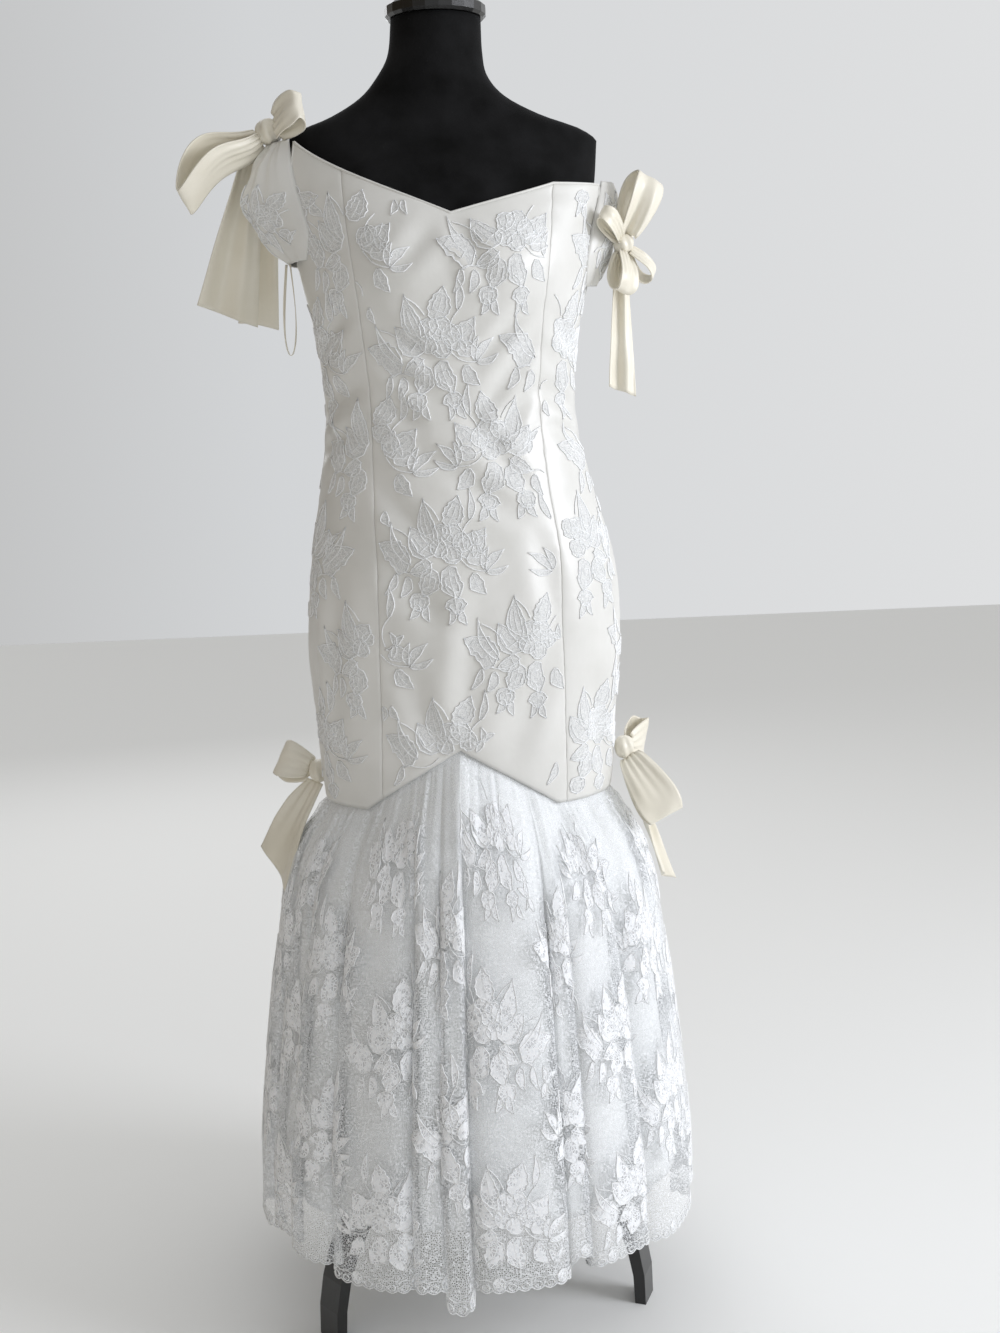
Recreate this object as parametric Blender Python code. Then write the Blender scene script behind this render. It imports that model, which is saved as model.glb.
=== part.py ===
"""Off-the-shoulder wedding dress with a gathered lace flounce, worn by a limbless dress form on three legs.

Metres, +Z up, the front faces -Y and the wearer's left is +X. The form's pole stands on X = Y = 0 while
the pieces are made, and at the end everything moves so that the bounding box is centred over the origin.
Every piece of cloth is a closed wall over a surface function of two values from 0 to 1.
"""
import math
from collections import namedtuple

import bmesh
import bpy
from mathutils import Matrix, Vector

# Driving dimensions
SHEATH_WALL = 0.0020
LACE_WALL = 0.0012
LINING_WALL = 0.0014
SATIN_WALL = 0.0022
RIBBON_WALL = 0.0012
SEAM_GAP = 0.0004
LAYER_GAP = 0.0010
FORM_CLEARANCE = 0.0016
# Where the body turns tightest along a seam: the seam gap holds there and opens a little elsewhere
SHEATH_SEAM_RADIUS = 0.100
FLOUNCE_SEAM_RADIUS = 0.130

FORM_BOTTOM = 0.700
NECK_TOP = 1.462
CAP_HEIGHT = 0.016
CAP_RADIUS = 0.055
POLE_RADIUS = 0.012
HUB_RADIUS = 0.026
HUB_BOTTOM = 0.150
HUB_TOP = 0.235
FOOT_RADIUS = 0.212
LEG_TOP = 0.196
LEG_WIDTH = 0.040
FOOT_WIDTH = 0.034
LEG_THICKNESS = 0.020
FOOT_THICKNESS = 0.013
LEG_STEPS = 10
LEG_ANGLES = {"right": -55.3, "left": 64.7, "back": 184.7}

SEAM_SIDE_HEIGHT = 0.605
SEAM_PEAK_HEIGHT = 0.674
SEAM_PEAK_ANGLE = -6.0
SEAM_PEAK_REACH = 40.0
SEAM_TUCK = 0.006
TUCKED_SHARE = 0.0155
LACE_HEM_HEIGHT = 0.116
LINING_HEM_HEIGHT = 0.172
GATHER_HEIGHT = 0.0022
GATHERS_END = 0.40
FOLDS_OPEN_BY = 0.45
LINING_CALM = 0.42
LINING_STEP = 0.0034
LINING_HANG = 0.0040

SHEATH_ROWS = 18
FLOUNCE_LEVELS = (0.10, 0.18, 0.30, 0.45, 0.62, 0.80, 1.00)
DEGREES_PER_COLUMN = 3.45

BUTTON_COUNT = 7
BUTTON_SIDES = 10
BUTTON_RADIUS = 0.0058
BUTTON_HEIGHT = 0.0050
# A little more than the seam gap, as the button's flat base spans the hollow of the back
BUTTON_GAP = 0.00055
BUTTON_PROFILE = ((0.86, 0.0), (1.0, 0.35), (0.62, 0.88), (0.20, 1.0))

LOOP_START = 0.06
ARCH_PEAK = 4.0 / 27.0

# The torso as worn, by height: where its middle lies and how far it reaches sideways, forward and back
BodyRow = namedtuple("BodyRow", "height centre half_width front back")
BODY_ROWS = (
    BodyRow(0.600, 0.010, 0.167, 0.112, 0.115),
    BodyRow(0.700, 0.011, 0.1735, 0.112, 0.119),
    BodyRow(0.790, 0.011, 0.179, 0.114, 0.122),
    BodyRow(0.880, 0.011, 0.172, 0.112, 0.112),
    BodyRow(0.965, 0.006, 0.1525, 0.103, 0.094),
    BodyRow(1.045, 0.003, 0.1405, 0.096, 0.086),
    BodyRow(1.120, 0.002, 0.1465, 0.104, 0.090),
    BodyRow(1.190, 0.002, 0.160, 0.114, 0.096),
    BodyRow(1.240, 0.002, 0.170, 0.104, 0.097),
    BodyRow(1.290, 0.003, 0.177, 0.083, 0.090),
    BodyRow(1.335, 0.004, 0.177, 0.060, 0.072),
)
BUST_HEIGHT = 1.190
BUST_SPREAD = 0.046
BUST_OFFSET = 0.074
BUST_FULLNESS = 0.012
BUST_EASE = 0.0018
ARM_HEIGHT = 1.285
ARM_SPREAD = 0.060
ARM_EASE = 0.0048

# Shoulders and neck of the bare form, above the dress
NeckRow = namedtuple("NeckRow", "height centre half_width front back")
NECK_ROWS = (
    NeckRow(1.346, 0.000, 0.156, 0.056, 0.068),
    NeckRow(1.360, -0.003, 0.118, 0.053, 0.064),
    NeckRow(1.380, -0.006, 0.081, 0.051, 0.060),
    NeckRow(1.402, -0.006, 0.061, 0.050, 0.056),
    NeckRow(1.425, -0.002, 0.052, 0.049, 0.053),
    NeckRow(1.462, 0.000, 0.049, 0.048, 0.050),
)

# The bodice's upper edge by angle, measured from the centre front toward the wearer's left
EdgeRow = namedtuple("EdgeRow", "angle height")
TOP_EDGE_ROWS = (
    EdgeRow(-180, 1.288), EdgeRow(-140, 1.290), EdgeRow(-118, 1.298), EdgeRow(-108, 1.238),
    EdgeRow(-98, 1.209), EdgeRow(-90, 1.203), EdgeRow(-80, 1.212), EdgeRow(-73, 1.262),
    EdgeRow(-67, 1.334), EdgeRow(-41, 1.301), EdgeRow(0, 1.248), EdgeRow(40, 1.281),
    EdgeRow(74, 1.284), EdgeRow(82, 1.206), EdgeRow(92, 1.174), EdgeRow(102, 1.184),
    EdgeRow(112, 1.230), EdgeRow(120, 1.284), EdgeRow(140, 1.290), EdgeRow(180, 1.288),
)

# Angle of the princess seams from the centre, by height
SeamRow = namedtuple("SeamRow", "height front back")
SEAM_ROWS = (
    SeamRow(0.600, 38.5, 140.0),
    SeamRow(0.820, 34.6, 143.0),
    SeamRow(1.045, 40.9, 138.0),
    SeamRow(1.300, 39.8, 140.0),
)

# How far each level of the flounce has spread from the seam's oval to the hem's
SpreadRow = namedtuple("SpreadRow", "down spread")
SPREAD_ROWS = (
    SpreadRow(0.00, 0.00), SpreadRow(0.03, 0.06), SpreadRow(0.07, 0.24), SpreadRow(0.13, 0.42),
    SpreadRow(0.22, 0.56), SpreadRow(0.36, 0.65), SpreadRow(0.53, 0.78), SpreadRow(0.69, 0.90),
    SpreadRow(0.85, 0.98), SpreadRow(1.00, 1.00),
)
HEM_OVAL = BodyRow(LACE_HEM_HEIGHT, 0.005, 0.250, 0.247, 0.250)

# One row for each fold of the flounce: the tuck it starts at, how far its crest lifts, how far its hem drops
FoldRow = namedtuple("FoldRow", "start lift drop")
FOLD_ROWS = (
    FoldRow(-88, 0.018, 0.000), FoldRow(-72, 0.010, -0.012), FoldRow(-60, 0.022, -0.006),
    FoldRow(-44, 0.026, 0.004), FoldRow(-20, 0.018, 0.002), FoldRow(-12.5, 0.020, 0.026),
    FoldRow(-6, 0.026, 0.000), FoldRow(19, 0.006, -0.018), FoldRow(25, 0.022, -0.006),
    FoldRow(43.5, 0.028, 0.000), FoldRow(74, 0.016, -0.010), FoldRow(92, 0.020, 0.000),
    FoldRow(108, 0.014, -0.006), FoldRow(121, 0.026, 0.004), FoldRow(144, 0.012, -0.008),
    FoldRow(154, 0.024, 0.006), FoldRow(176, 0.014, -0.004), FoldRow(184, 0.026, 0.002),
    FoldRow(206, 0.015, -0.006), FoldRow(221, 0.024, 0.004), FoldRow(241, 0.010, -0.008),
    FoldRow(250, 0.022, 0.000),
)

# The edges of each sleeve where it leaves the bodice, from its top edge down, and how far it puffs out
SleeveRow = namedtuple("SleeveRow", "down front_angle front_height back_angle back_height puff")
RIGHT_SLEEVE_ROWS = (
    SleeveRow(0.00, -71.0, 1.336, -112.0, 1.332, 0.022),
    SleeveRow(0.22, -68.0, 1.308, -113.0, 1.300, 0.047),
    SleeveRow(0.50, -63.0, 1.270, -116.0, 1.262, 0.060),
    SleeveRow(0.78, -61.0, 1.234, -114.0, 1.228, 0.046),
    SleeveRow(1.00, -68.0, 1.207, -106.0, 1.204, 0.018),
)
LEFT_SLEEVE_ROWS = (
    SleeveRow(0.00, 77.0, 1.288, 112.0, 1.290, 0.018),
    SleeveRow(0.22, 74.0, 1.268, 113.0, 1.270, 0.030),
    SleeveRow(0.50, 70.0, 1.236, 116.0, 1.238, 0.036),
    SleeveRow(0.78, 70.0, 1.202, 113.0, 1.202, 0.028),
    SleeveRow(1.00, 76.0, 1.174, 105.0, 1.178, 0.014),
)
SLEEVE_COLUMNS = 18
SLEEVE_LEVELS = 5
SLEEVE_RIPPLES = 5
SLEEVE_RIPPLE_HEIGHT = 0.0028

# Loops of the bows: the place of each tip from the knot's middle, the ribbon's width and how it opens
LoopRow = namedtuple("LoopRow", "name tip wide_way width puff gathered folds arch steps rows")
RIGHT_SHOULDER_LOOPS = (
    LoopRow("loop_inner", (0.036, -0.042, 0.020), (0.0, 0.3, 1.0), 0.044, 0.020, 0.80, 0.001, 0.0, 10, 3),
    LoopRow("loop_outer", (-0.094, -0.022, -0.076), (0.40, 0.85, -0.40), 0.054, 0.026, 0.44, 0.0010, 0.022, 14, 4),
)
LEFT_SHOULDER_LOOPS = (
    LoopRow("loop_up", (0.030, 0.006, 0.073), (1.0, 0.35, 0.0), 0.044, 0.026, 0.55, 0.0028, 0.0, 12, 6),
    LoopRow("loop_front", (-0.028, -0.036, 0.031), (0.35, 1.0, 0.2), 0.014, 0.016, 0.70, 0.0, 0.0, 10, 2),
    LoopRow("loop_down", (-0.004, -0.016, -0.054), (0.2, 1.0, 0.0), 0.026, 0.020, 0.55, 0.0, 0.0, 12, 3),
    LoopRow("loop_side", (0.033, 0.008, -0.038), (-0.2, 1.0, 0.0), 0.022, 0.017, 0.60, 0.0, 0.0, 10, 3),
)
RIGHT_HIP_LOOPS = (
    LoopRow("loop", (-0.046, 0.024, 0.012), (0.15, 0.50, 1.0), 0.052, 0.028, 0.50, 0.0012, 0.0, 12, 4),
)
LEFT_HIP_LOOPS = (
    LoopRow("loop_back", (0.030, 0.052, 0.004), (0.10, 0.0, 1.0), 0.056, 0.021, 0.45, 0.001, 0.0, 12, 4),
    LoopRow("loop_front", (0.040, -0.047, -0.074), (1.0, -0.15, 0.10), 0.060, 0.026, 0.38, 0.0, 0.0, 12, 4),
)
HANGER_ROW = LoopRow("hanger", (-0.002, 0.0, -0.098), (0.3, 1.0, 0.0), 0.0042, 0.014, 1.0, 0.0, 0.0, 12, 1)

# Tails of the bows: the side of the knot that each hangs from and the middle of its cut end
TailRow = namedtuple("TailRow", "name way shift end wide_way top_width bottom_width folds ripple slant sway columns")
RIGHT_SHOULDER_TAILS = (
    TailRow("tail_outer", (-0.25, 1.0, 0.0), -0.0115, (-0.057, 0.038, -0.194), (1.0, 0.25, 0.0), 0.012, 0.072, 1.5,
            0.0055, 0.014, 0.000, 8),
    TailRow("tail_inner", (-0.25, 1.0, 0.0), 0.0085, (-0.026, 0.088, -0.202), (1.0, 0.25, 0.0), 0.011, 0.048, 1.0,
            0.0040, 0.006, -0.010, 6),
)
LEFT_SHOULDER_TAILS = (
    TailRow("tail", (-0.10, 1.0, -0.05), 0.0, (-0.002, 0.010, -0.162), (1.0, 0.10, 0.0), 0.014, 0.033, 1.5,
            0.0035, 0.012, 0.0, 8),
)
RIGHT_HIP_TAILS = (
    TailRow("tail", (-0.50, -0.30, -1.10), 0.0, (-0.056, -0.028, -0.110), (0.70, -0.70, 0.0), 0.026, 0.062, 1.0,
            0.0035, 0.036, 0.006, 8),
)
LEFT_HIP_TAILS = (
    TailRow("tail", (0.40, 0.55, -1.65), 0.0, (0.056, 0.040, -0.170), (0.5, 0.85, 0.0), 0.012, 0.030, 1.0, 0.0035,
            0.030, 0.0, 6),
)

Finish = namedtuple("Finish", "colour roughness metallic")
FINISHES = {
    "lace_over_satin": Finish((0.86, 0.86, 0.84), 0.45, 0.0),
    "corded_lace": Finish((0.90, 0.91, 0.92), 0.70, 0.0),
    "lining_satin": Finish((0.85, 0.86, 0.86), 0.40, 0.0),
    "ivory_satin": Finish((0.83, 0.80, 0.70), 0.38, 0.0),
    "black_velvet": Finish((0.008, 0.008, 0.009), 0.85, 0.0),
    "black_lacquer": Finish((0.010, 0.010, 0.010), 0.30, 0.0),
}


def smooth_row(rows, at):
    """The row of a table at any value of its first column, on smooth curves through the rows."""
    kind = type(rows[0])
    last = len(rows) - 1
    spot = 0
    while spot < last - 1 and rows[spot + 1][0] < at:
        spot += 1
    low = rows[spot]
    high = rows[spot + 1]
    span = high[0] - low[0]
    share = min(max((at - low[0]) / span, 0.0), 1.0)
    before = rows[max(spot - 1, 0)]
    after = rows[min(spot + 2, last)]
    values = [at]
    for column in range(1, len(low)):
        slope_low = (high[column] - before[column]) / (high[0] - before[0]) * span
        slope_high = (after[column] - low[column]) / (after[0] - low[0]) * span
        squared = share * share
        cubed = squared * share
        values.append(
            (2 * cubed - 3 * squared + 1) * low[column]
            + (cubed - 2 * squared + share) * slope_low
            + (3 * squared - 2 * cubed) * high[column]
            + (cubed - squared) * slope_high
        )
    return kind(*values)


def straight_row(rows, at):
    """The second column of a table at any value of its first, on straight lines between rows."""
    for low, high in zip(rows, rows[1:]):
        if at <= high[0]:
            share = max((at - low[0]) / (high[0] - low[0]), 0.0)
            return low[1] + (high[1] - low[1]) * share
    return rows[-1][1]


def blend(low, high, share):
    return low + (high - low) * share


def oval_point(oval, angle, height, out):
    """A point on the oval of one table row, moved outward; the angle is in degrees from the centre front."""
    turn = math.radians(angle)
    depth = oval.front if math.cos(turn) > 0 else oval.back
    x = oval.centre + (oval.half_width + out) * math.sin(turn)
    y = -(depth + out) * math.cos(turn)
    return Vector((x, y, height))


def body_point(angle, height, out=0.0):
    """The outer face of the sheath at an angle and a height, with the fullness of the two cups."""
    point = oval_point(smooth_row(BODY_ROWS, height), angle, height, out)
    facing_front = max(math.cos(math.radians(angle)), 0.0)
    rise = math.exp(-(((height - BUST_HEIGHT) / BUST_SPREAD) ** 2))
    side = math.exp(-(((abs(point.x) - BUST_OFFSET) / BUST_SPREAD) ** 2))
    point.y -= BUST_FULLNESS * facing_front * rise * side
    return point


def seam_angle(seam, height):
    """The angle of a named seam at a height."""
    row = smooth_row(SEAM_ROWS, height)
    angles = {
        "centre_back_right": -180.0,
        "back_princess_right": -row.back,
        "side_right": -90.0,
        "princess_right": -row.front,
        "princess_left": row.front,
        "side_left": 90.0,
        "back_princess_left": row.back,
        "centre_back_left": 180.0,
    }
    return angles[seam]


def flounce_seam_height(angle):
    """The seam between sheath and flounce: a point at the centre front, level round the sides and back."""
    away = abs((angle + 180.0) % 360.0 - 180.0 - SEAM_PEAK_ANGLE)
    share = max(1.0 - away / SEAM_PEAK_REACH, 0.0)
    return blend(SEAM_SIDE_HEIGHT, SEAM_PEAK_HEIGHT, share)


def fold_at(angle):
    """The fold that an angle falls in, how far across it the angle lies, and its width."""
    first = FOLD_ROWS[0].start
    turned = (angle - first) % 360.0 + first
    for spot, row in enumerate(FOLD_ROWS):
        end = FOLD_ROWS[spot + 1].start if spot + 1 < len(FOLD_ROWS) else first + 360.0
        if turned < end:
            width = end - row.start
            return row, (turned - row.start) / width, width
    return FOLD_ROWS[-1], 1.0, first + 360.0 - FOLD_ROWS[-1].start


def columns_in_fold(width):
    return 2 * max(1, round(width / (2 * DEGREES_PER_COLUMN)))


def flounce_point(angle, down, layer=0.0):
    """The flounce's outer face; layer 0 is the lace, and layer 1 the lining that follows it inside."""
    fold, across, width = fold_at(angle)
    top = flounce_seam_height(angle) + SEAM_TUCK
    height = blend(top, LACE_HEM_HEIGHT, down)
    spread = straight_row(SPREAD_ROWS, max(down - TUCKED_SHARE, 0.0) / (1.0 - TUCKED_SHARE))
    seam_oval = smooth_row(BODY_ROWS, top)
    values = [height]
    for seam_value, hem_value in zip(seam_oval[1:], HEM_OVAL[1:]):
        values.append(blend(seam_value, hem_value, spread))
    oval = BodyRow(*values)
    open_share = min(down / FOLDS_OPEN_BY, 1.0)
    crest = math.sin(math.pi * across) ** 0.8
    lift = fold.lift * (crest - 0.5) * open_share * (1.0 - LINING_CALM * layer)
    leave = min(max(down - TUCKED_SHARE, 0.0) / TUCKED_SHARE, 1.0)
    gather_share = leave * max(1.0 - down / GATHERS_END, 0.0) * (1.0 - layer)
    gather = -math.cos(math.pi * columns_in_fold(width) * across) * GATHER_HEIGHT * gather_share
    tucked_in = -(SHEATH_WALL + 1.4 * LAYER_GAP)
    lining_step = -layer * (LACE_WALL + 1.3 * LAYER_GAP + LINING_STEP * leave + LINING_HANG * open_share)
    point = oval_point(oval, angle, height, tucked_in * (1.0 - leave) + lift + gather + lining_step)
    point.z -= fold.drop * crest * down ** 3 * (1.0 - layer)
    return point


def sleeve_point(rows, across, down):
    """A short gathered sleeve from the front of the armhole, round the outside, to its back."""
    row = smooth_row(rows, down)
    lifted = 0.7 * LINING_WALL + LAYER_GAP
    front = body_point(row.front_angle, row.front_height, lifted)
    back = body_point(row.back_angle, row.back_height, lifted)
    side = math.copysign(1.0, row.front_angle)
    swell = max(math.sin(math.pi * across), 0.0)
    ripple = math.sin(2 * math.pi * SLEEVE_RIPPLES * across) * SLEEVE_RIPPLE_HEIGHT * swell * (1.0 - 0.5 * down)
    point = front.lerp(back, across)
    point.x += side * (row.puff * swell ** 0.7 + ripple)
    return point


def facing(point, across, down, step=0.002):
    """The outward direction of a surface, from its slopes."""
    slope_across = point(across + step, down) - point(across - step, down)
    slope_down = point(across, down + step) - point(across, down - step)
    return slope_down.cross(slope_across).normalized()


def evenly(count, start=0.0, end=1.0):
    return [blend(start, end, spot / count) for spot in range(count + 1)]


def make_materials():
    made = {}
    for name, finish in FINISHES.items():
        material = bpy.data.materials.new(name)
        material.use_nodes = True
        shader = material.node_tree.nodes["Principled BSDF"]
        shader.inputs["Base Color"].default_value = (*finish.colour, 1.0)
        shader.inputs["Roughness"].default_value = finish.roughness
        shader.inputs["Metallic"].default_value = finish.metallic
        made[name] = material
    return made


def add_object(name, bm, material, smooth_angle=50.0):
    """A mesh object under the dress form's empty."""
    mesh = bpy.data.meshes.new(name)
    bm.to_mesh(mesh)
    bm.free()
    mesh.shade_smooth()
    mesh.set_sharp_from_angle(angle=math.radians(smooth_angle))
    mesh.materials.append(MATERIALS[material])
    thing = bpy.data.objects.new(name, mesh)
    bpy.context.collection.objects.link(thing)
    thing.parent = ROOT
    return thing


def cloth_wall(name, point, across, down, thickness, material):
    """A closed wall of cloth: its outer face lies on point(across, down), its inner face one wall behind."""
    bm = bmesh.new()
    outer = []
    inner = []
    for row in down:
        places = [point(column, row) for column in across]
        backs = [place - facing(point, column, row) * thickness for place, column in zip(places, across)]
        outer.append([bm.verts.new(place) for place in places])
        inner.append([bm.verts.new(place) for place in backs])
    last_row = len(down) - 1
    last_column = len(across) - 1
    for row in range(last_row):
        for column in range(last_column):
            corners = ((row, column), (row + 1, column), (row + 1, column + 1), (row, column + 1))
            bm.faces.new([outer[r][c] for r, c in corners])
            bm.faces.new([inner[r][c] for r, c in reversed(corners)])
    for row in range(last_row):
        for column, ends in ((0, (row, row + 1)), (last_column, (row + 1, row))):
            start, stop = ends
            bm.faces.new((outer[start][column], inner[start][column], inner[stop][column], outer[stop][column]))
    for column in range(last_column):
        for row, ends in ((0, (column + 1, column)), (last_row, (column, column + 1))):
            start, stop = ends
            bm.faces.new((outer[row][start], inner[row][start], inner[row][stop], outer[row][stop]))
    return add_object(name, bm, material)


def stacked_rings(name, rings, material):
    """A solid through closed rings of points, the first ring lowest, with flat ends."""
    bm = bmesh.new()
    loops = [[bm.verts.new(place) for place in ring] for ring in rings]
    for lower, upper in zip(loops, loops[1:]):
        for spot in range(len(lower)):
            after = (spot + 1) % len(lower)
            bm.faces.new((lower[spot], lower[after], upper[after], upper[spot]))
    bm.faces.new(list(reversed(loops[0])))
    bm.faces.new(loops[-1])
    return add_object(name, bm, material, 40.0)


def turned(name, profile, segments, material):
    """A turned solid about the pole: profile rows are (radius, height) from the bottom up."""
    rings = []
    for radius, height in profile:
        ring = []
        for spot in range(segments):
            turn = 2 * math.pi * spot / segments
            ring.append(Vector((radius * math.cos(turn), radius * math.sin(turn), height)))
        rings.append(ring)
    return stacked_rings(name, rings, material)


def build_form():
    """The padded torso with shoulders and neck, a little inside the dress, and its neck cap."""
    segments = 24
    heights = [FORM_BOTTOM + 0.004, FORM_BOTTOM + 0.018]
    heights += evenly(16, FORM_BOTTOM + 0.050, 1.333)
    rings = []
    for spot, height in enumerate(heights):
        rounding = (-0.016, -0.003)[spot] if spot < 2 else 0.0
        ease = BUST_EASE * math.exp(-(((height - BUST_HEIGHT) / (1.4 * BUST_SPREAD)) ** 2))
        arm_ease = ARM_EASE * math.exp(-(((height - ARM_HEIGHT) / ARM_SPREAD) ** 2))
        ring = []
        for step in range(segments):
            angle = 360.0 * step / segments
            beside_arm = math.sin(math.radians(angle)) ** 8
            inset = rounding - SHEATH_WALL - FORM_CLEARANCE - ease - arm_ease * beside_arm
            ring.append(body_point(angle, height, inset))
        rings.append(ring)
    for row in NECK_ROWS:
        rings.append([oval_point(row, 360.0 * step / segments, row.height, 0.0) for step in range(segments)])
    stacked_rings("form_torso", rings, "black_velvet")
    base = NECK_TOP + SEAM_GAP
    cap_profile = ((CAP_RADIUS - 0.003, base), (CAP_RADIUS, base + 0.003),
                   (CAP_RADIUS, base + CAP_HEIGHT - 0.004), (CAP_RADIUS - 0.005, base + CAP_HEIGHT))
    turned("neck_cap", cap_profile, 24, "black_lacquer")


def build_stand():
    """The pole, the hub and three flat curved legs."""
    pole_profile = ((POLE_RADIUS, HUB_TOP + SEAM_GAP), (POLE_RADIUS, FORM_BOTTOM + 0.004 - SEAM_GAP))
    turned("pole", pole_profile, 16, "black_lacquer")
    hub_profile = ((HUB_RADIUS - 0.004, HUB_BOTTOM), (HUB_RADIUS, HUB_BOTTOM + 0.004),
                   (HUB_RADIUS, HUB_TOP - 0.014), (HUB_RADIUS - 0.010, HUB_TOP))
    turned("base_hub", hub_profile, 20, "black_lacquer")
    for name, angle in LEG_ANGLES.items():
        build_leg(name, angle)


def build_leg(name, angle):
    """A flat leg that leaves the hub level, bows outward and comes down upright on a level foot."""
    route = (Vector((HUB_RADIUS + SEAM_GAP, LEG_TOP)), Vector((0.130, LEG_TOP + 0.006)),
             Vector((FOOT_RADIUS + 0.004, 0.120)), Vector((FOOT_RADIUS, 0.0)))
    turn = Matrix.Rotation(math.radians(angle - 90.0), 4, "Z")
    rings = []
    for share in evenly(LEG_STEPS, 1.0, 0.0):
        rest = 1.0 - share
        place = (rest ** 3 * route[0] + 3 * rest ** 2 * share * route[1]
                 + 3 * rest * share ** 2 * route[2] + share ** 3 * route[3])
        along = (rest ** 2 * (route[1] - route[0]) + 2 * rest * share * (route[2] - route[1])
                 + share ** 2 * (route[3] - route[2])).normalized()
        side = Vector((-along.y, along.x)) * blend(LEG_THICKNESS, FOOT_THICKNESS, share) * 0.5
        outer = place + side
        inner = place - side
        if share == 0.0:
            outer.x = inner.x = route[0].x
        if share == 1.0:
            outer.y = inner.y = 0.0
        half_width = blend(LEG_WIDTH, FOOT_WIDTH, share) * 0.5
        corners = ((inner, -half_width), (outer, -half_width), (outer, half_width), (inner, half_width))
        rings.append([turn @ Vector((spot.x, across, spot.y)) for spot, across in corners])
    stacked_rings("leg_" + name, rings, "black_lacquer")


def build_sheath():
    """Seven panels from the neckline to the flounce, cut apart at the princess, side and back seams."""
    side_columns = evenly(7)
    panels = (
        ("front_centre", "princess_right", "princess_left", None),
        ("side_front_left", "princess_left", "side_left", side_columns),
        ("side_back_left", "side_left", "back_princess_left", side_columns),
        ("back_left", "back_princess_left", "centre_back_left", evenly(5)),
        ("back_right", "centre_back_right", "back_princess_right", evenly(5)),
        ("side_back_right", "back_princess_right", "side_right", side_columns),
        ("side_front_right", "side_right", "princess_right", side_columns),
    )
    half_gap = math.degrees(SEAM_GAP * 0.5 / SHEATH_SEAM_RADIUS)
    for name, start_seam, end_seam, columns in panels:
        if columns is None:
            low = seam_angle(start_seam, SEAM_PEAK_HEIGHT)
            high = seam_angle(end_seam, SEAM_PEAK_HEIGHT)
            middle = (SEAM_PEAK_ANGLE - low) / (high - low)
            columns = evenly(4, 0.0, middle) + evenly(5, middle, 1.0)[1:]

        def point(across, down, start_seam=start_seam, end_seam=end_seam):
            edge_angle = blend(seam_angle(start_seam, 1.28), seam_angle(end_seam, 1.28), across)
            foot_angle = blend(seam_angle(start_seam, 0.62), seam_angle(end_seam, 0.62), across)
            height = blend(straight_row(TOP_EDGE_ROWS, edge_angle), flounce_seam_height(foot_angle), down)
            start = seam_angle(start_seam, height) + half_gap
            end = seam_angle(end_seam, height) - half_gap
            return body_point(blend(start, end, across), height)

        cloth_wall(name, point, columns, evenly(SHEATH_ROWS), SHEATH_WALL, "lace_over_satin")


def flounce_columns(start, end, every):
    """Angles of the flounce's columns between two tucks: each fold has an even number of steps."""
    angles = []
    for lap in (0.0, 360.0):
        for spot, row in enumerate(FOLD_ROWS):
            stop = FOLD_ROWS[spot + 1].start if spot + 1 < len(FOLD_ROWS) else FOLD_ROWS[0].start + 360.0
            count = columns_in_fold(stop - row.start) // every
            for step in range(count):
                angles.append(row.start + lap + (stop - row.start) * step / count)
    return [angle for angle in angles if start - 0.01 < angle < end - 0.01] + [end]


def build_flounce():
    """The gathered lace flounce and its satin lining, each in a front and a back half."""
    lining_reach = (SEAM_SIDE_HEIGHT - LINING_HEM_HEIGHT) / (SEAM_SIDE_HEIGHT - LACE_HEM_HEIGHT)
    lace_down = [0.0, TUCKED_SHARE, 2.2 * TUCKED_SHARE] + list(FLOUNCE_LEVELS)
    lining_down = [level for level in lace_down if level < lining_reach] + [lining_reach]
    layers = (
        ("flounce_lace", 0.0, lace_down, 1, LACE_WALL, "corded_lace"),
        ("flounce_lining", 1.0, lining_down, 2, LINING_WALL, "lining_satin"),
    )
    halves = (("front", -88.0, 92.0), ("back", 92.0, 272.0))
    edge_gap = math.degrees(SEAM_GAP * 0.5 / FLOUNCE_SEAM_RADIUS)
    for layer_name, layer, down, every, thickness, material in layers:
        for half, start, end in halves:
            angles = flounce_columns(start, end, every)
            across = [(angle - start) / (end - start) for angle in angles]

            def point(share, low, start=start, end=end, layer=layer):
                angle = blend(start + edge_gap, end - edge_gap, share)
                return flounce_point(angle, low, layer)

            cloth_wall(layer_name + "_" + half, point, across, down, thickness, material)


def build_sleeves():
    """Both sleeves; the columns run so that each wall faces outward."""
    sleeves = (("sleeve_right", RIGHT_SLEEVE_ROWS, True), ("sleeve_left", LEFT_SLEEVE_ROWS, False))
    for name, rows, runs_forward in sleeves:

        def point(across, down, rows=rows, runs_forward=runs_forward):
            return sleeve_point(rows, 1.0 - across if runs_forward else across, down)

        cloth_wall(name, point, evenly(SLEEVE_COLUMNS), evenly(SLEEVE_LEVELS), LINING_WALL, "lace_over_satin")


def knot_reach(sizes, way):
    """How far an oval knot reaches from its middle in one direction."""
    return math.sqrt(sum((size * part) ** 2 for size, part in zip(sizes, way)))


def soft_knot(name, middle, sizes):
    """A bow's rounded knot."""
    bm = bmesh.new()
    bmesh.ops.create_uvsphere(bm, u_segments=12, v_segments=8, radius=1.0)
    for vert in bm.verts:
        vert.co = Vector((vert.co.x * sizes[0], vert.co.y * sizes[1], vert.co.z * sizes[2])) + middle
    return add_object(name, bm, "ivory_satin", 80.0)


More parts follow.
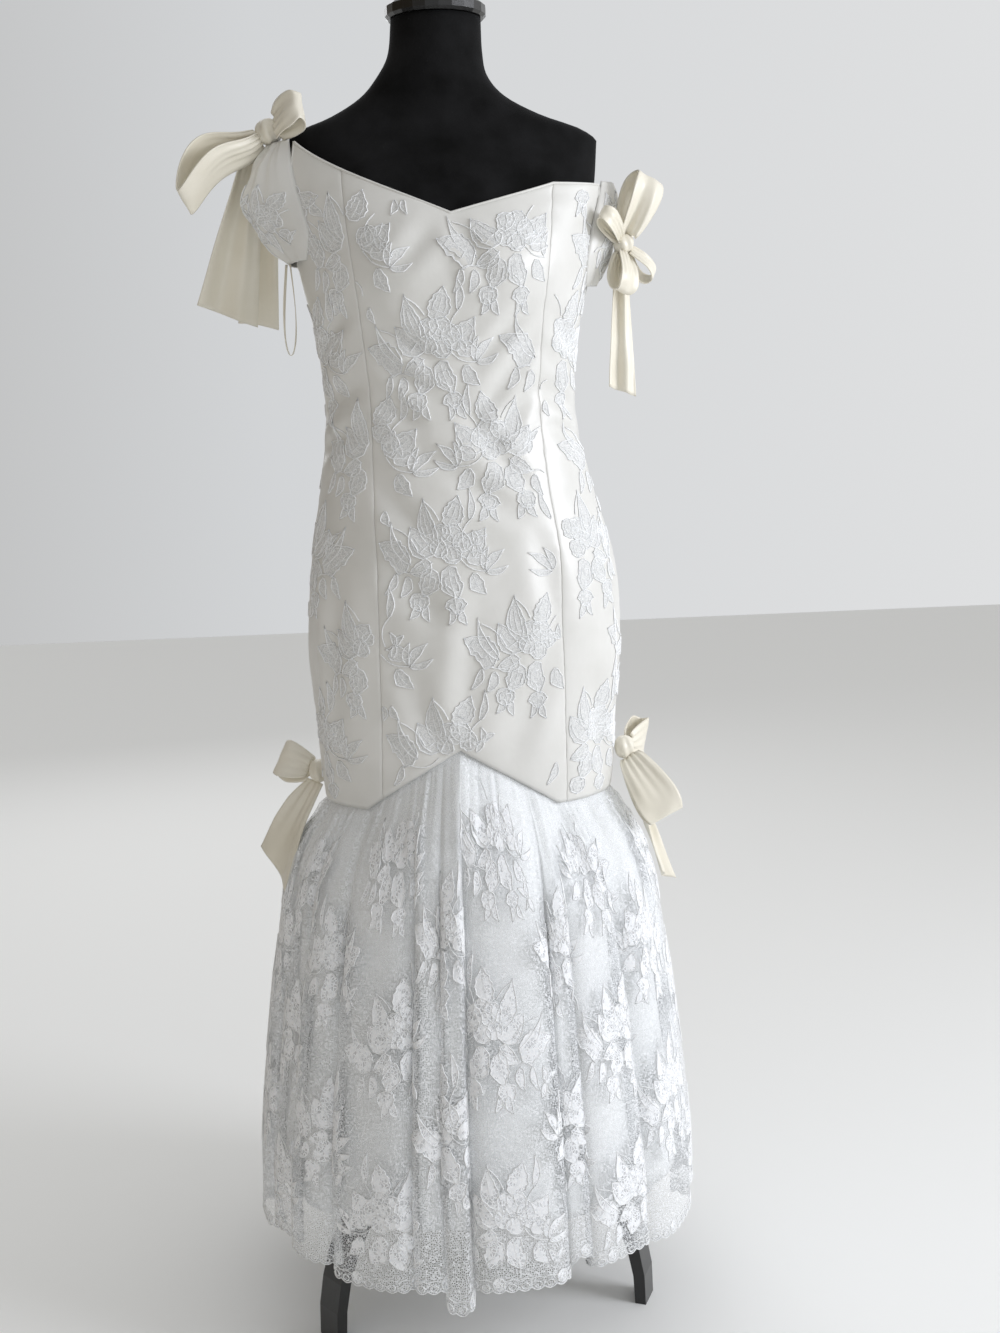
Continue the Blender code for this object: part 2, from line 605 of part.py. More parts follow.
def ribbon_loop(name, root, tip, row, steps, rows, wall):
    """A loop of satin that leaves its root, opens by the puff and turns back at the tip."""
    reach = tip - root
    along = reach.normalized()
    wide_way = Vector(row.wide_way)
    wide = (wide_way - along * wide_way.dot(along)).normalized()
    side = wide.cross(along)
    start_swell = math.sin(math.pi * LOOP_START)

    def point(across, down):
        turn = math.pi * blend(LOOP_START, 1.0 - LOOP_START, across)
        swell = math.sin(turn)
        share = (swell - start_swell) / (1.0 - start_swell)
        breadth = row.width * blend(row.gathered, 1.0, max(share, 0.0) ** 0.6)
        gathers = row.folds * math.cos(3 * math.pi * down) * (1.0 - 0.6 * share)
        place = root + along * reach.length * share + wide * (down - 0.5) * breadth
        place += side * (row.puff * 0.5 * math.sin(2.0 * turn) + gathers)
        place.z += row.arch * share ** 2 * (1.0 - share) / ARCH_PEAK
        return place

    return cloth_wall(name, point, evenly(steps), evenly(rows), wall, "ivory_satin")


def ribbon_tail(name, top, bottom, row):
    """A flat end of the bow that hangs in soft folds from its gathered top to a slanted cut edge."""
    down_way = (bottom - top).normalized()
    wide_way = Vector(row.wide_way)
    wide = (wide_way - down_way * wide_way.dot(down_way)).normalized()
    outward = down_way.cross(wide)

    def point(across, down):
        breadth = blend(row.top_width, row.bottom_width, max(down, 0.0) ** 0.8)
        ripple = row.ripple * math.cos(2 * math.pi * row.folds * across) * min(max(down, 0.0) * 3.0, 1.0)
        place = top.lerp(bottom, down) + wide * (across - 0.5) * breadth
        place += outward * (ripple + row.sway * math.sin(math.pi * down))
        place += down_way * row.slant * (across - 0.5) * down
        return place

    return cloth_wall(name, point, evenly(row.columns), evenly(5), SATIN_WALL, "ivory_satin")


def build_bow(name, surface, across, down, sizes, loops, tails, outward=None):
    """A bow whose knot is seated on a surface, with its loops and tails set round the knot."""
    if outward is None:
        outward = facing(surface, across, down)
    middle = surface(across, down) + outward * (knot_reach(sizes, outward) + SEAM_GAP)
    soft_knot(name + "_knot", middle, sizes)
    for row in loops:
        way = Vector(row.tip).normalized()
        root = middle + way * (knot_reach(sizes, way) + SEAM_GAP * 0.5)
        ribbon_loop(name + "_" + row.name, root, middle + Vector(row.tip), row, row.steps, row.rows, SATIN_WALL)
    for row in tails:
        way = Vector(row.way).normalized()
        top = middle + way * (knot_reach(sizes, way) + SEAM_GAP) + Vector(row.wide_way).normalized() * row.shift
        ribbon_tail(name + "_" + row.name, top, middle + Vector(row.end), row)


def build_bows():
    """Four bows: one on each sleeve and one at each hip, where the flounce is joined on."""

    def right_sleeve(across, down):
        return sleeve_point(RIGHT_SLEEVE_ROWS, 1.0 - across, down)

    def left_sleeve(across, down):
        return sleeve_point(LEFT_SLEEVE_ROWS, across, down)

    def hips(across, down):
        return body_point(360.0 * across, blend(1.0, 0.5, down))

    build_bow("right_shoulder", right_sleeve, 0.5, 0.0, (0.015, 0.018, 0.014), RIGHT_SHOULDER_LOOPS,
              RIGHT_SHOULDER_TAILS, Vector((0.0, 0.0, 1.0)))
    build_bow("left_shoulder", left_sleeve, 5 / SLEEVE_COLUMNS, 3 / SLEEVE_LEVELS, (0.012, 0.012, 0.011),
              LEFT_SHOULDER_LOOPS, LEFT_SHOULDER_TAILS)
    build_bow("right_hip", hips, -106.0 / 360.0, 0.744, (0.012, 0.016, 0.014), RIGHT_HIP_LOOPS, RIGHT_HIP_TAILS)
    build_bow("left_hip", hips, 84.0 / 360.0, 0.700, (0.012, 0.014, 0.014), LEFT_HIP_LOOPS, LEFT_HIP_TAILS)


def build_hanging_ribbon():
    """The thin hanger ribbon that has slipped out under the wearer's right arm."""
    root = sleeve_point(RIGHT_SLEEVE_ROWS, 0.42, 1.0) + Vector((0.0, 0.0, -SEAM_GAP))
    ribbon_loop("hanger_ribbon", root, root + Vector(HANGER_ROW.tip), HANGER_ROW, HANGER_ROW.steps,
                HANGER_ROW.rows, RIBBON_WALL)


def build_buttons():
    """Small satin-covered buttons down the centre back, over the closed edge."""
    top = straight_row(TOP_EDGE_ROWS, 180.0)

    def back(across, down):
        return body_point(180.0 + across * 10.0, blend(top, SEAM_SIDE_HEIGHT, down))

    for spot in range(BUTTON_COUNT):
        down = (spot + 1) / SHEATH_ROWS
        seat = back(0.0, down)
        outward = facing(back, 0.0, down)
        side = Vector((0.0, 0.0, 1.0)).cross(outward).normalized()
        up = outward.cross(side)
        bm = bmesh.new()
        rings = []
        for radius_share, height_share in BUTTON_PROFILE:
            ring = []
            for step in range(BUTTON_SIDES):
                turn = 2 * math.pi * step / BUTTON_SIDES
                spoke = side * math.cos(turn) + up * math.sin(turn)
                lifted = seat + outward * (BUTTON_GAP + BUTTON_HEIGHT * height_share)
                ring.append(bm.verts.new(lifted + spoke * BUTTON_RADIUS * radius_share))
            rings.append(ring)
        for lower, upper in zip(rings, rings[1:]):
            for step in range(BUTTON_SIDES):
                after = (step + 1) % BUTTON_SIDES
                bm.faces.new((lower[step], lower[after], upper[after], upper[step]))
        bm.faces.new(list(reversed(rings[0])))
        bm.faces.new(rings[-1])
        add_object("button_{:02d}".format(spot + 1), bm, "ivory_satin", 60.0)


def centre_over_origin():
    """Moves the empty so that the whole part's bounding box is centred over the origin."""
    bpy.context.view_layer.update()
    corners = []
    for thing in ROOT.children:
        corners += [thing.matrix_world @ Vector(corner) for corner in thing.bound_box]
    xs = [corner.x for corner in corners]
    ys = [corner.y for corner in corners]
    ROOT.location = (-(min(xs) + max(xs)) / 2, -(min(ys) + max(ys)) / 2, 0.0)
    bpy.context.view_layer.update()


for old in list(bpy.data.objects):
    bpy.data.objects.remove(old, do_unlink=True)
MATERIALS = make_materials()
ROOT = bpy.data.objects.new("dress_form_axis", None)
bpy.context.collection.objects.link(ROOT)

build_form()
build_stand()
build_sheath()
build_flounce()
build_sleeves()
build_bows()
build_hanging_ribbon()
build_buttons()
centre_over_origin()
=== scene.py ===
# %% [markdown]
# # An off-the-shoulder wedding dress in corded lace and satin
# The real dress is a fitted sheath of seven panels with a lace flounce gathered onto it, two small
# sleeves and four satin bows, and it stands on a black velvet dress form with a lacquered stand.
# The imported solids give every main shape. This lesson lays finer cloth over them: thin satin shells
# with creases, a net flounce with real folds, and lace motifs raised in cord and fill.

# %% Load the imported model as a fixed frame
import math
from collections import namedtuple

import bpy
from mathutils import Matrix, Quaternion, Vector, noise


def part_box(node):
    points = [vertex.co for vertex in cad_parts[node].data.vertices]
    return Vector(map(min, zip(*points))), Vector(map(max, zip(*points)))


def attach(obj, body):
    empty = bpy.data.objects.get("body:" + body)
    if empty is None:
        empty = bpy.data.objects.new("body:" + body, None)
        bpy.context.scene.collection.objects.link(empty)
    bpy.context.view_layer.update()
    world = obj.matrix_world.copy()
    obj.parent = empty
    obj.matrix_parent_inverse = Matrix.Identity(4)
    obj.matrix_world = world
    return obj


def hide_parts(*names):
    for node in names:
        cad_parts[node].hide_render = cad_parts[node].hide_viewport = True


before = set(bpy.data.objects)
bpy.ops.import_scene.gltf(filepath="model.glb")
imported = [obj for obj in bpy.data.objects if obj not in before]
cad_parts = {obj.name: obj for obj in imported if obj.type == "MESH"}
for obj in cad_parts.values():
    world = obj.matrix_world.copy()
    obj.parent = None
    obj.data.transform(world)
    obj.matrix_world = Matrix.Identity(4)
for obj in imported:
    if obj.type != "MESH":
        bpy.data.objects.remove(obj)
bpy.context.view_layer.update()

POLE_LOW, POLE_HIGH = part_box("pole")
AXIS = Vector(((POLE_LOW[0] + POLE_HIGH[0]) / 2, (POLE_LOW[1] + POLE_HIGH[1]) / 2, 0.0))

# %% [markdown]
# ## The pattern the cutter works from
# A dress is cut from measurements taken round the body at set heights, so the same tables that shaped
# the solids shape the cloth here. Each row is a height with its half width and its reach to the front
# and back. A smooth curve through the rows gives the body at any height, which no single cylinder could.

# %% Body, neckline and seam tables
BodyRow = namedtuple("BodyRow", "height centre half_width front back")
BODY_ROWS = (
    BodyRow(0.600, 0.010, 0.167, 0.112, 0.115),
    BodyRow(0.700, 0.011, 0.1735, 0.112, 0.119),
    BodyRow(0.790, 0.011, 0.179, 0.114, 0.122),
    BodyRow(0.880, 0.011, 0.172, 0.112, 0.112),
    BodyRow(0.965, 0.006, 0.1525, 0.103, 0.094),
    BodyRow(1.045, 0.003, 0.1405, 0.096, 0.086),
    BodyRow(1.120, 0.002, 0.1465, 0.104, 0.090),
    BodyRow(1.190, 0.002, 0.160, 0.114, 0.096),
    BodyRow(1.240, 0.002, 0.170, 0.104, 0.097),
    BodyRow(1.290, 0.003, 0.177, 0.083, 0.090),
    BodyRow(1.335, 0.004, 0.177, 0.060, 0.072),
)
BUST_HEIGHT = 1.190
BUST_SPREAD = 0.046
BUST_OFFSET = 0.074
BUST_FULLNESS = 0.012

EdgeRow = namedtuple("EdgeRow", "angle height")
TOP_EDGE_ROWS = (
    EdgeRow(-180, 1.288), EdgeRow(-140, 1.290), EdgeRow(-118, 1.298), EdgeRow(-108, 1.238),
    EdgeRow(-98, 1.209), EdgeRow(-90, 1.203), EdgeRow(-80, 1.212), EdgeRow(-73, 1.262),
    EdgeRow(-67, 1.334), EdgeRow(-41, 1.301), EdgeRow(0, 1.248), EdgeRow(40, 1.281),
    EdgeRow(74, 1.284), EdgeRow(82, 1.206), EdgeRow(92, 1.174), EdgeRow(102, 1.184),
    EdgeRow(112, 1.230), EdgeRow(120, 1.284), EdgeRow(140, 1.290), EdgeRow(180, 1.288),
)
SeamRow = namedtuple("SeamRow", "height front back")
SEAM_ROWS = (
    SeamRow(0.600, 38.5, 140.0),
    SeamRow(0.820, 34.6, 143.0),
    SeamRow(1.045, 40.9, 138.0),
    SeamRow(1.300, 39.8, 140.0),
)
SEAM_SIDE_HEIGHT = 0.605
SEAM_PEAK_HEIGHT = 0.674
SEAM_PEAK_ANGLE = -6.0
SEAM_PEAK_REACH = 40.0


# %% Curves through the tables
def blend(low, high, share):
    return low + (high - low) * share


def smooth_row(rows, at):
    """The row of a table at any value of its first column, on smooth curves through the rows."""
    kind = type(rows[0])
    last = len(rows) - 1
    spot = 0
    while spot < last - 1 and rows[spot + 1][0] < at:
        spot += 1
    low = rows[spot]
    high = rows[spot + 1]
    span = high[0] - low[0]
    share = min(max((at - low[0]) / span, 0.0), 1.0)
    before = rows[max(spot - 1, 0)]
    after = rows[min(spot + 2, last)]
    squared = share * share
    cubed = squared * share
    values = [at]
    for column in range(1, len(low)):
        slope_low = (high[column] - before[column]) / (high[0] - before[0]) * span
        slope_high = (after[column] - low[column]) / (after[0] - low[0]) * span
        values.append(
            (2 * cubed - 3 * squared + 1) * low[column] + (cubed - 2 * squared + share) * slope_low
            + (3 * squared - 2 * cubed) * high[column] + (cubed - squared) * slope_high
        )
    return kind(*values)


def straight_row(rows, at):
    """The second column of a table at any value of its first, on straight lines between rows."""
    for low, high in zip(rows, rows[1:]):
        if at <= high[0]:
            share = max((at - low[0]) / (high[0] - low[0]), 0.0)
            return low[1] + (high[1] - low[1]) * share
    return rows[-1][1]


def oval_point(oval, angle, height, out):
    """A point on the oval of one row, moved outward; the angle is in degrees from the centre front."""
    turn = math.radians(angle)
    depth = oval.front if math.cos(turn) > 0 else oval.back
    x = oval.centre + (oval.half_width + out) * math.sin(turn)
    y = -(depth + out) * math.cos(turn)
    return Vector((x, y, height)) + AXIS


def body_point(angle, height, out=0.0):
    """The outer face of the sheath, with the fullness of the two cups."""
    point = oval_point(smooth_row(BODY_ROWS, height), angle, height, out)
    facing_front = max(math.cos(math.radians(angle)), 0.0)
    rise = math.exp(-(((height - BUST_HEIGHT) / BUST_SPREAD) ** 2))
    side = math.exp(-(((abs(point.x - AXIS.x) - BUST_OFFSET) / BUST_SPREAD) ** 2))
    point.y -= BUST_FULLNESS * facing_front * rise * side
    return point


def seam_angle(seam, height):
    row = smooth_row(SEAM_ROWS, height)
    angles = {
        "centre_back_right": -180.0, "back_princess_right": -row.back, "side_right": -90.0,
        "princess_right": -row.front, "princess_left": row.front, "side_left": 90.0,
        "back_princess_left": row.back, "centre_back_left": 180.0,
    }
    return angles[seam]


def flounce_seam_height(angle):
    away = abs((angle + 180.0) % 360.0 - 180.0 - SEAM_PEAK_ANGLE)
    share = max(1.0 - away / SEAM_PEAK_REACH, 0.0)
    return blend(SEAM_SIDE_HEIGHT, SEAM_PEAK_HEIGHT, share)


def evenly(count, start=0.0, end=1.0):
    return [blend(start, end, spot / count) for spot in range(count + 1)]


# %% [markdown]
# ## One way to make cloth
# Cloth is a grid of points that follows a surface, so one helper turns any grid into a thin closed
# shell: an outer face, an inner face one thickness behind it, and a narrow edge all round. A grid gives
# full control over where a crease runs, which a simulated drape would not. It also writes a UV map in
# real metres, so that a weave can be drawn at the thread spacing of the real cloth.

# %% Grids, shells and their cut size
def grid_of(point, across, down):
    return [[point(column, row) for column in across] for row in down]


def grid_normals(grid):
    """The outward direction at each point, from its neighbours down and across."""
    rows = len(grid)
    columns = len(grid[0])
    normals = []
    for r in range(rows):
        up = grid[max(r - 1, 0)]
        low = grid[min(r + 1, rows - 1)]
        line = grid[r]
        made = []
        for c in range(columns):
            slope_down = low[c] - up[c]
            slope_across = line[min(c + 1, columns - 1)] - line[max(c - 1, 0)]
            made.append(slope_down.cross(slope_across).normalized())
        normals.append(made)
    return normals


def cut_of(grid):
    """The flat size of the cloth in a grid: its widest row, its longest column and its area."""
    width = max(sum((b - a).length for a, b in zip(row, row[1:])) for row in grid)
    columns = range(len(grid[0]))
    length = max(sum((low[c] - high[c]).length for high, low in zip(grid, grid[1:])) for c in columns)
    area = 0.0
    for high, low in zip(grid, grid[1:]):
        for c in range(len(high) - 1):
            area += (low[c + 1] - high[c]).cross(low[c] - high[c + 1]).length / 2
    return width, length, area


def add_mesh(name, places, faces, materials, slots=None, uvs=None):
    """A smooth mesh object; slots holds a material number for each face, and uvs metres for each point."""
    mesh = bpy.data.meshes.new(name)
    mesh.from_pydata([tuple(place) for place in places], [], faces)
    for material in materials:
        mesh.materials.append(material)
    if slots:
        mesh.polygons.foreach_set("material_index", slots)
    if uvs:
        layer = mesh.uv_layers.new(name="cloth_metres")
        corners = []
        for loop in mesh.loops:
            corners.extend(uvs[loop.vertex_index])
        layer.data.foreach_set("uv", corners)
    mesh.shade_smooth()
    mesh.update()
    thing = bpy.data.objects.new(name, mesh)
    bpy.context.scene.collection.objects.link(thing)
    return thing


def cloth_shell(name, grid, thickness, material):
    """A closed shell of cloth whose outer face is the grid."""
    rows = len(grid)
    columns = len(grid[0])
    normals = grid_normals(grid)
    middle = grid[rows // 2]
    along = [0.0]
    for a, b in zip(middle, middle[1:]):
        along.append(along[-1] + (b - a).length)
    fall = [0.0]
    for high, low in zip(grid, grid[1:]):
        fall.append(fall[-1] + (low[columns // 2] - high[columns // 2]).length)
    places = [place for row in grid for place in row]
    uvs = [(along[c], -fall[r]) for r in range(rows) for c in range(columns)]
    inner = rows * columns if thickness > 0 else 0
    faces = []
    for r in range(rows - 1):
        for c in range(columns - 1):
            a = r * columns + c
            b = a + columns
            faces.append((a, b, b + 1, a + 1))
            if inner:
                faces.append((inner + a, inner + a + 1, inner + b + 1, inner + b))
    if inner:
        for row, directions in zip(grid, normals):
            places += [place - way * thickness for place, way in zip(row, directions)]
        uvs += uvs
        rim = [c for c in range(columns)] + [r * columns + columns - 1 for r in range(1, rows)]
        rim += [(rows - 1) * columns + c for c in range(columns - 2, -1, -1)]
        rim += [r * columns for r in range(rows - 2, 0, -1)]
        for a, b in zip(rim, rim[1:] + rim[:1]):
            faces.append((a, b, inner + b, inner + a))
    return add_mesh(name, places, faces, [material], None, uvs)


# %% [markdown]
# ## Colours and the node helper
# Cloth colours are read as sRGB hex values, the way a swatch card gives them, and one function turns
# them to the linear values that shaders use. One helper adds any node with its settings and its links,
# so that each material below reads as a short list of what the surface does.

# %% Colour and node helpers
def linear(hex_value):
    parts = [int(hex_value[k:k + 2], 16) / 255 for k in (0, 2, 4)]
    return tuple(v / 12.92 if v <= 0.04045 else ((v + 0.055) / 1.055) ** 2.4 for v in parts) + (1.0,)


def add_node(tree, kind, settings=(), links=()):
    """Adds a node; settings are (socket or attribute, value) and links are (socket, output it takes)."""
    node = tree.nodes.new(kind)
    for key, value in settings:
        if key in node.inputs:
            node.inputs[key].default_value = value
        elif isinstance(key, int):
            node.inputs[key].default_value = value
        else:
            setattr(node, key, value)
    for key, output in links:
        tree.links.new(node.inputs[key], output)
    return node


def new_material(name, colour, roughness, ior=1.5):
    """A material with its Principled shader, ready for the details that follow."""
    material = bpy.data.materials.new(name)
    material.use_nodes = True
    tree = material.node_tree
    shader = tree.nodes["Principled BSDF"]
    shader.inputs["Base Color"].default_value = linear(colour)
    shader.inputs["Roughness"].default_value = roughness
    shader.inputs["IOR"].default_value = ior
    return material, tree, shader


def tinted(tree, source, low_colour, high_colour, low=0.3, high=0.7):
    """A colour that runs between two hex colours as a value runs from low to high."""
    ramp = add_node(tree, "ShaderNodeValToRGB", (), [(0, source)])
    ramp.color_ramp.elements[0].position = low
    ramp.color_ramp.elements[0].color = linear(low_colour)
    ramp.color_ramp.elements[1].position = high
    ramp.color_ramp.elements[1].color = linear(high_colour)
    return ramp.outputs["Color"]


def weave_height(tree, uv, thread_mm, stretch=1.0):
    """Two crossed sets of threads, as a height from 0 to 1, at a thread spacing in millimetres."""
    scaled = add_node(tree, "ShaderNodeMapping", [("Scale", (1000 / thread_mm, 1000 / thread_mm * stretch, 1.0))],
                      [("Vector", uv)])
    wave_settings = [("Scale", 1.0 / (2 * math.pi) * 3.1416), ("Distortion", 0.4), ("Detail", 1.0)]
    warp = add_node(tree, "ShaderNodeTexWave", wave_settings + [("bands_direction", "X")],
                    [("Vector", scaled.outputs[0])])
    weft = add_node(tree, "ShaderNodeTexWave", wave_settings + [("bands_direction", "Y")],
                    [("Vector", scaled.outputs[0])])
    both = add_node(tree, "ShaderNodeMath", [("operation", "MULTIPLY")],
                    [(0, warp.outputs["Fac"]), (1, weft.outputs["Fac"])])
    return both.outputs[0]


# %% [markdown]
# ## Duchess satin
# Duchess satin is a heavy warp-faced weave: long silk or polyester floats lie side by side, so light
# slides along them in soft broad bands instead of a sharp gleam. That asks for a middling roughness and
# a little anisotropy. Real threads are about 0.1 mm apart, too fine for the picture, so the weave is
# drawn at 0.9 mm and kept faint. Slow noise gives the tiny pulls and the uneven tone of handled cloth.
# The bows are a warmer ivory, the bodice satin a cooler off-white, and the lining a plain white.

# %% Satin materials
def satin(name, colour, shade_colour, roughness, thread_mm):
    material, tree, shader = new_material(name, colour, roughness, 1.54)
    uv = add_node(tree, "ShaderNodeUVMap", [("uv_map", "cloth_metres")]).outputs[0]
    place = add_node(tree, "ShaderNodeTexCoord").outputs["Object"]
    tone = add_node(tree, "ShaderNodeTexNoise", [("Scale", 14.0), ("Detail", 4.0)], [("Vector", place)])
    tree.links.new(shader.inputs["Base Color"], tinted(tree, tone.outputs["Fac"], shade_colour, colour))
    pulls = add_node(tree, "ShaderNodeTexNoise", [("Scale", 60.0), ("Detail", 3.0)], [("Vector", place)])
    rough = add_node(tree, "ShaderNodeMapRange", [("To Min", roughness - 0.05), ("To Max", roughness + 0.07)],
                     [("Value", pulls.outputs["Fac"])])
    tree.links.new(shader.inputs["Roughness"], rough.outputs[0])
    soft = add_node(tree, "ShaderNodeBump", [("Strength", 0.20), ("Distance", 0.0012)],
                    [("Height", pulls.outputs["Fac"])])
    fine = add_node(tree, "ShaderNodeBump", [("Strength", 0.10), ("Distance", 0.0002)],
                    [("Height", weave_height(tree, uv, thread_mm)), ("Normal", soft.outputs[0])])
    tree.links.new(shader.inputs["Normal"], fine.outputs[0])
    shader.inputs["Anisotropic"].default_value = 0.35
    shader.inputs["Sheen Weight"].default_value = 0.12
    shader.inputs["Sheen Roughness"].default_value = 0.4
    return material


BODICE_SATIN = satin("duchess_satin_off_white", "E3E2DE", "D8D7D2", 0.33, 0.9)
BOW_SATIN = satin("duchess_satin_ivory", "EDE8DA", "E4DECD", 0.34, 0.9)
LINING_SATIN = satin("lining_satin_white", "F7F8F7", "EFF1F1", 0.40, 0.8)

# %% [markdown]
# ## Corded lace and net
# Machine lace has three parts. The ground is a net of hexagonal meshes about 1 mm wide, drawn here at
# 2 mm so that it still reads, and clear between its threads. The fill of each petal is the same net
# worked over until it is dense. On the flounce, patches of it about 12 mm wide are dense and the rest
# is openwork, drawn with 4 mm holes where the real ones are 2 mm. The outline is a soft mercerised
# cord of about 1 mm. Net is given as alpha from a cell pattern, which keeps it one uncut sheet; cord
# and fill are real raised mesh.

# %% Lace materials
def lace_fill(name, colour, shade_colour, alpha_low):
    material, tree, shader = new_material(name, colour, 0.72, 1.5)
    uv = add_node(tree, "ShaderNodeUVMap", [("uv_map", "cloth_metres")]).outputs[0]
    stitches = weave_height(tree, uv, 1.3, 0.6)
    cells = add_node(tree, "ShaderNodeTexVoronoi", [("Scale", 700.0), ("Randomness", 0.8)], [("Vector", uv)])
    tree.links.new(shader.inputs["Base Color"],
                   tinted(tree, cells.outputs["Distance"], colour, shade_colour, 0.35, 0.75))
    bump = add_node(tree, "ShaderNodeBump", [("Strength", 0.55), ("Distance", 0.0004)], [("Height", stitches)])
    tree.links.new(shader.inputs["Normal"], bump.outputs[0])
    if alpha_low < 1.0:
        meshes = add_node(tree, "ShaderNodeTexVoronoi",
                          [("feature", "DISTANCE_TO_EDGE"), ("Scale", 250.0), ("Randomness", 0.8)],
                          [("Vector", uv)])
        threads = add_node(tree, "ShaderNodeMapRange",
                           [("From Min", 0.05), ("From Max", 0.16), ("To Min", 1.0), ("To Max", alpha_low)],
                           [("Value", meshes.outputs["Distance"])])
        patches = add_node(tree, "ShaderNodeTexNoise", [("Scale", 85.0), ("Detail", 2.0)], [("Vector", uv)])
        dense = add_node(tree, "ShaderNodeMapRange", [("From Min", 0.47), ("From Max", 0.53)],
                         [("Value", patches.outputs["Fac"])])
        alpha = add_node(tree, "ShaderNodeMath", [("operation", "MAXIMUM")],
                         [(0, threads.outputs[0]), (1, dense.outputs[0])])
        tree.links.new(shader.inputs["Alpha"], alpha.outputs[0])
    shader.inputs["Sheen Weight"].default_value = 0.2
    return material


def net(name, colour):
    material, tree, shader = new_material(name, colour, 0.65, 1.5)
    uv = add_node(tree, "ShaderNodeUVMap", [("uv_map", "cloth_metres")]).outputs[0]
    cells = add_node(tree, "ShaderNodeTexVoronoi",
                     [("feature", "DISTANCE_TO_EDGE"), ("Scale", 460.0), ("Randomness", 0.65)], [("Vector", uv)])
    thread = add_node(tree, "ShaderNodeMapRange",
                      [("From Min", 0.03), ("From Max", 0.17), ("To Min", 0.80), ("To Max", 0.05)],
                      [("Value", cells.outputs["Distance"])])
    tree.links.new(shader.inputs["Alpha"], thread.outputs[0])
    bump = add_node(tree, "ShaderNodeBump", [("Strength", 0.3), ("Distance", 0.0003)],
                    [("Height", thread.outputs[0])])
    tree.links.new(shader.inputs["Normal"], bump.outputs[0])
    shader.inputs["Sheen Weight"].default_value = 0.25
    return material


def cord_material(name, colour):
    material, tree, shader = new_material(name, colour, 0.55, 1.5)
    place = add_node(tree, "ShaderNodeTexCoord").outputs["Object"]
    twist = add_node(tree, "ShaderNodeTexNoise", [("Scale", 900.0), ("Detail", 2.0)], [("Vector", place)])
    tree.links.new(shader.inputs["Base Color"], tinted(tree, twist.outputs["Fac"], "E4E7EA", colour, 0.25, 0.6))
    bump = add_node(tree, "ShaderNodeBump", [("Strength", 0.4), ("Distance", 0.0003)],
                    [("Height", twist.outputs["Fac"])])
    tree.links.new(shader.inputs["Normal"], bump.outputs[0])
    return material


NET = net("cotton_net_white", "F4F6F8")
FILL = lace_fill("lace_fill_on_satin", "E9E9E7", "CFD0CF", 1.0)
NET_FILL = lace_fill("lace_fill_on_net", "FDFDFE", "EDF0F3", 0.42)
CORD = cord_material("mercerised_cord_white", "FBFBFA")
bead, bead_tree, bead_shader = new_material("glass_bead_clear", "F4F6F8", 0.08, 1.5)
# The bead's colour holds a painted reflection: a Fresnel term whitens it toward the rim and leaves it greyer face on.
bead_painted_rim_reflection = add_node(bead_tree, "ShaderNodeFresnel", [("IOR", 1.5)])
bead_tree.links.new(bead_shader.inputs["Base Color"],
                    tinted(bead_tree, bead_painted_rim_reflection.outputs[0], "D9DEE4", "FFFFFF", 0.0, 0.5))
bead_shader.inputs["Coat Weight"].default_value = 0.6
BEAD = bead

# %% [markdown]
# ## Velvet and lacquer
# Cotton velvet swallows light face on and glows a little where the pile is seen from the side, so it
# is almost black with a strong sheen. Noise in two sizes gives brushed patches and the pile itself,
# about 0.5 mm drawn at 1 mm. The stand is beech bent and lacquered black: a smooth dielectric of
# IOR 1.5 with a clear coat, and the faintest long grain showing through.

# %% Velvet and lacquer materials
velvet, velvet_tree, velvet_shader = new_material("cotton_velvet_black", "0B0B0C", 0.9, 1.45)
velvet_place = add_node(velvet_tree, "ShaderNodeTexCoord").outputs["Object"]
brushed = add_node(velvet_tree, "ShaderNodeTexNoise", [("Scale", 22.0), ("Detail", 5.0)], [("Vector", velvet_place)])
pile = add_node(velvet_tree, "ShaderNodeTexNoise", [("Scale", 1000.0), ("Detail", 1.0)], [("Vector", velvet_place)])
velvet_tree.links.new(velvet_shader.inputs["Base Color"],
                      tinted(velvet_tree, brushed.outputs["Fac"], "0A0A0A", "1B1B1C", 0.35, 0.70))
pile_bump = add_node(velvet_tree, "ShaderNodeBump", [("Strength", 0.35), ("Distance", 0.0006)],
                     [("Height", pile.outputs["Fac"])])
velvet_tree.links.new(velvet_shader.inputs["Normal"], pile_bump.outputs[0])
velvet_shader.inputs["Sheen Weight"].default_value = 0.5
velvet_shader.inputs["Sheen Roughness"].default_value = 0.35
velvet_shader.inputs["Sheen Tint"].default_value = linear("55565A")
velvet_shader.inputs["Specular IOR Level"].default_value = 0.15

lacquer, lacquer_tree, lacquer_shader = new_material("lacquered_beech_black", "0A0A0A", 0.32, 1.5)
lacquer_place = add_node(lacquer_tree, "ShaderNodeTexCoord").outputs["Object"]
grain_map = add_node(lacquer_tree, "ShaderNodeMapping", [("Scale", (300.0, 300.0, 25.0))],
                     [("Vector", lacquer_place)])
grain = add_node(lacquer_tree, "ShaderNodeTexNoise", [("Scale", 1.0), ("Detail", 3.0)],
                 [("Vector", grain_map.outputs[0])])
lacquer_tree.links.new(lacquer_shader.inputs["Base Color"],
                       tinted(lacquer_tree, grain.outputs["Fac"], "070707", "101010"))
grain_bump = add_node(lacquer_tree, "ShaderNodeBump", [("Strength", 0.12), ("Distance", 0.0003)],
                      [("Height", grain.outputs["Fac"])])
lacquer_tree.links.new(lacquer_shader.inputs["Normal"], grain_bump.outputs[0])
lacquer_shader.inputs["Coat Weight"].default_value = 0.35
lacquer_shader.inputs["Coat Roughness"].default_value = 0.15
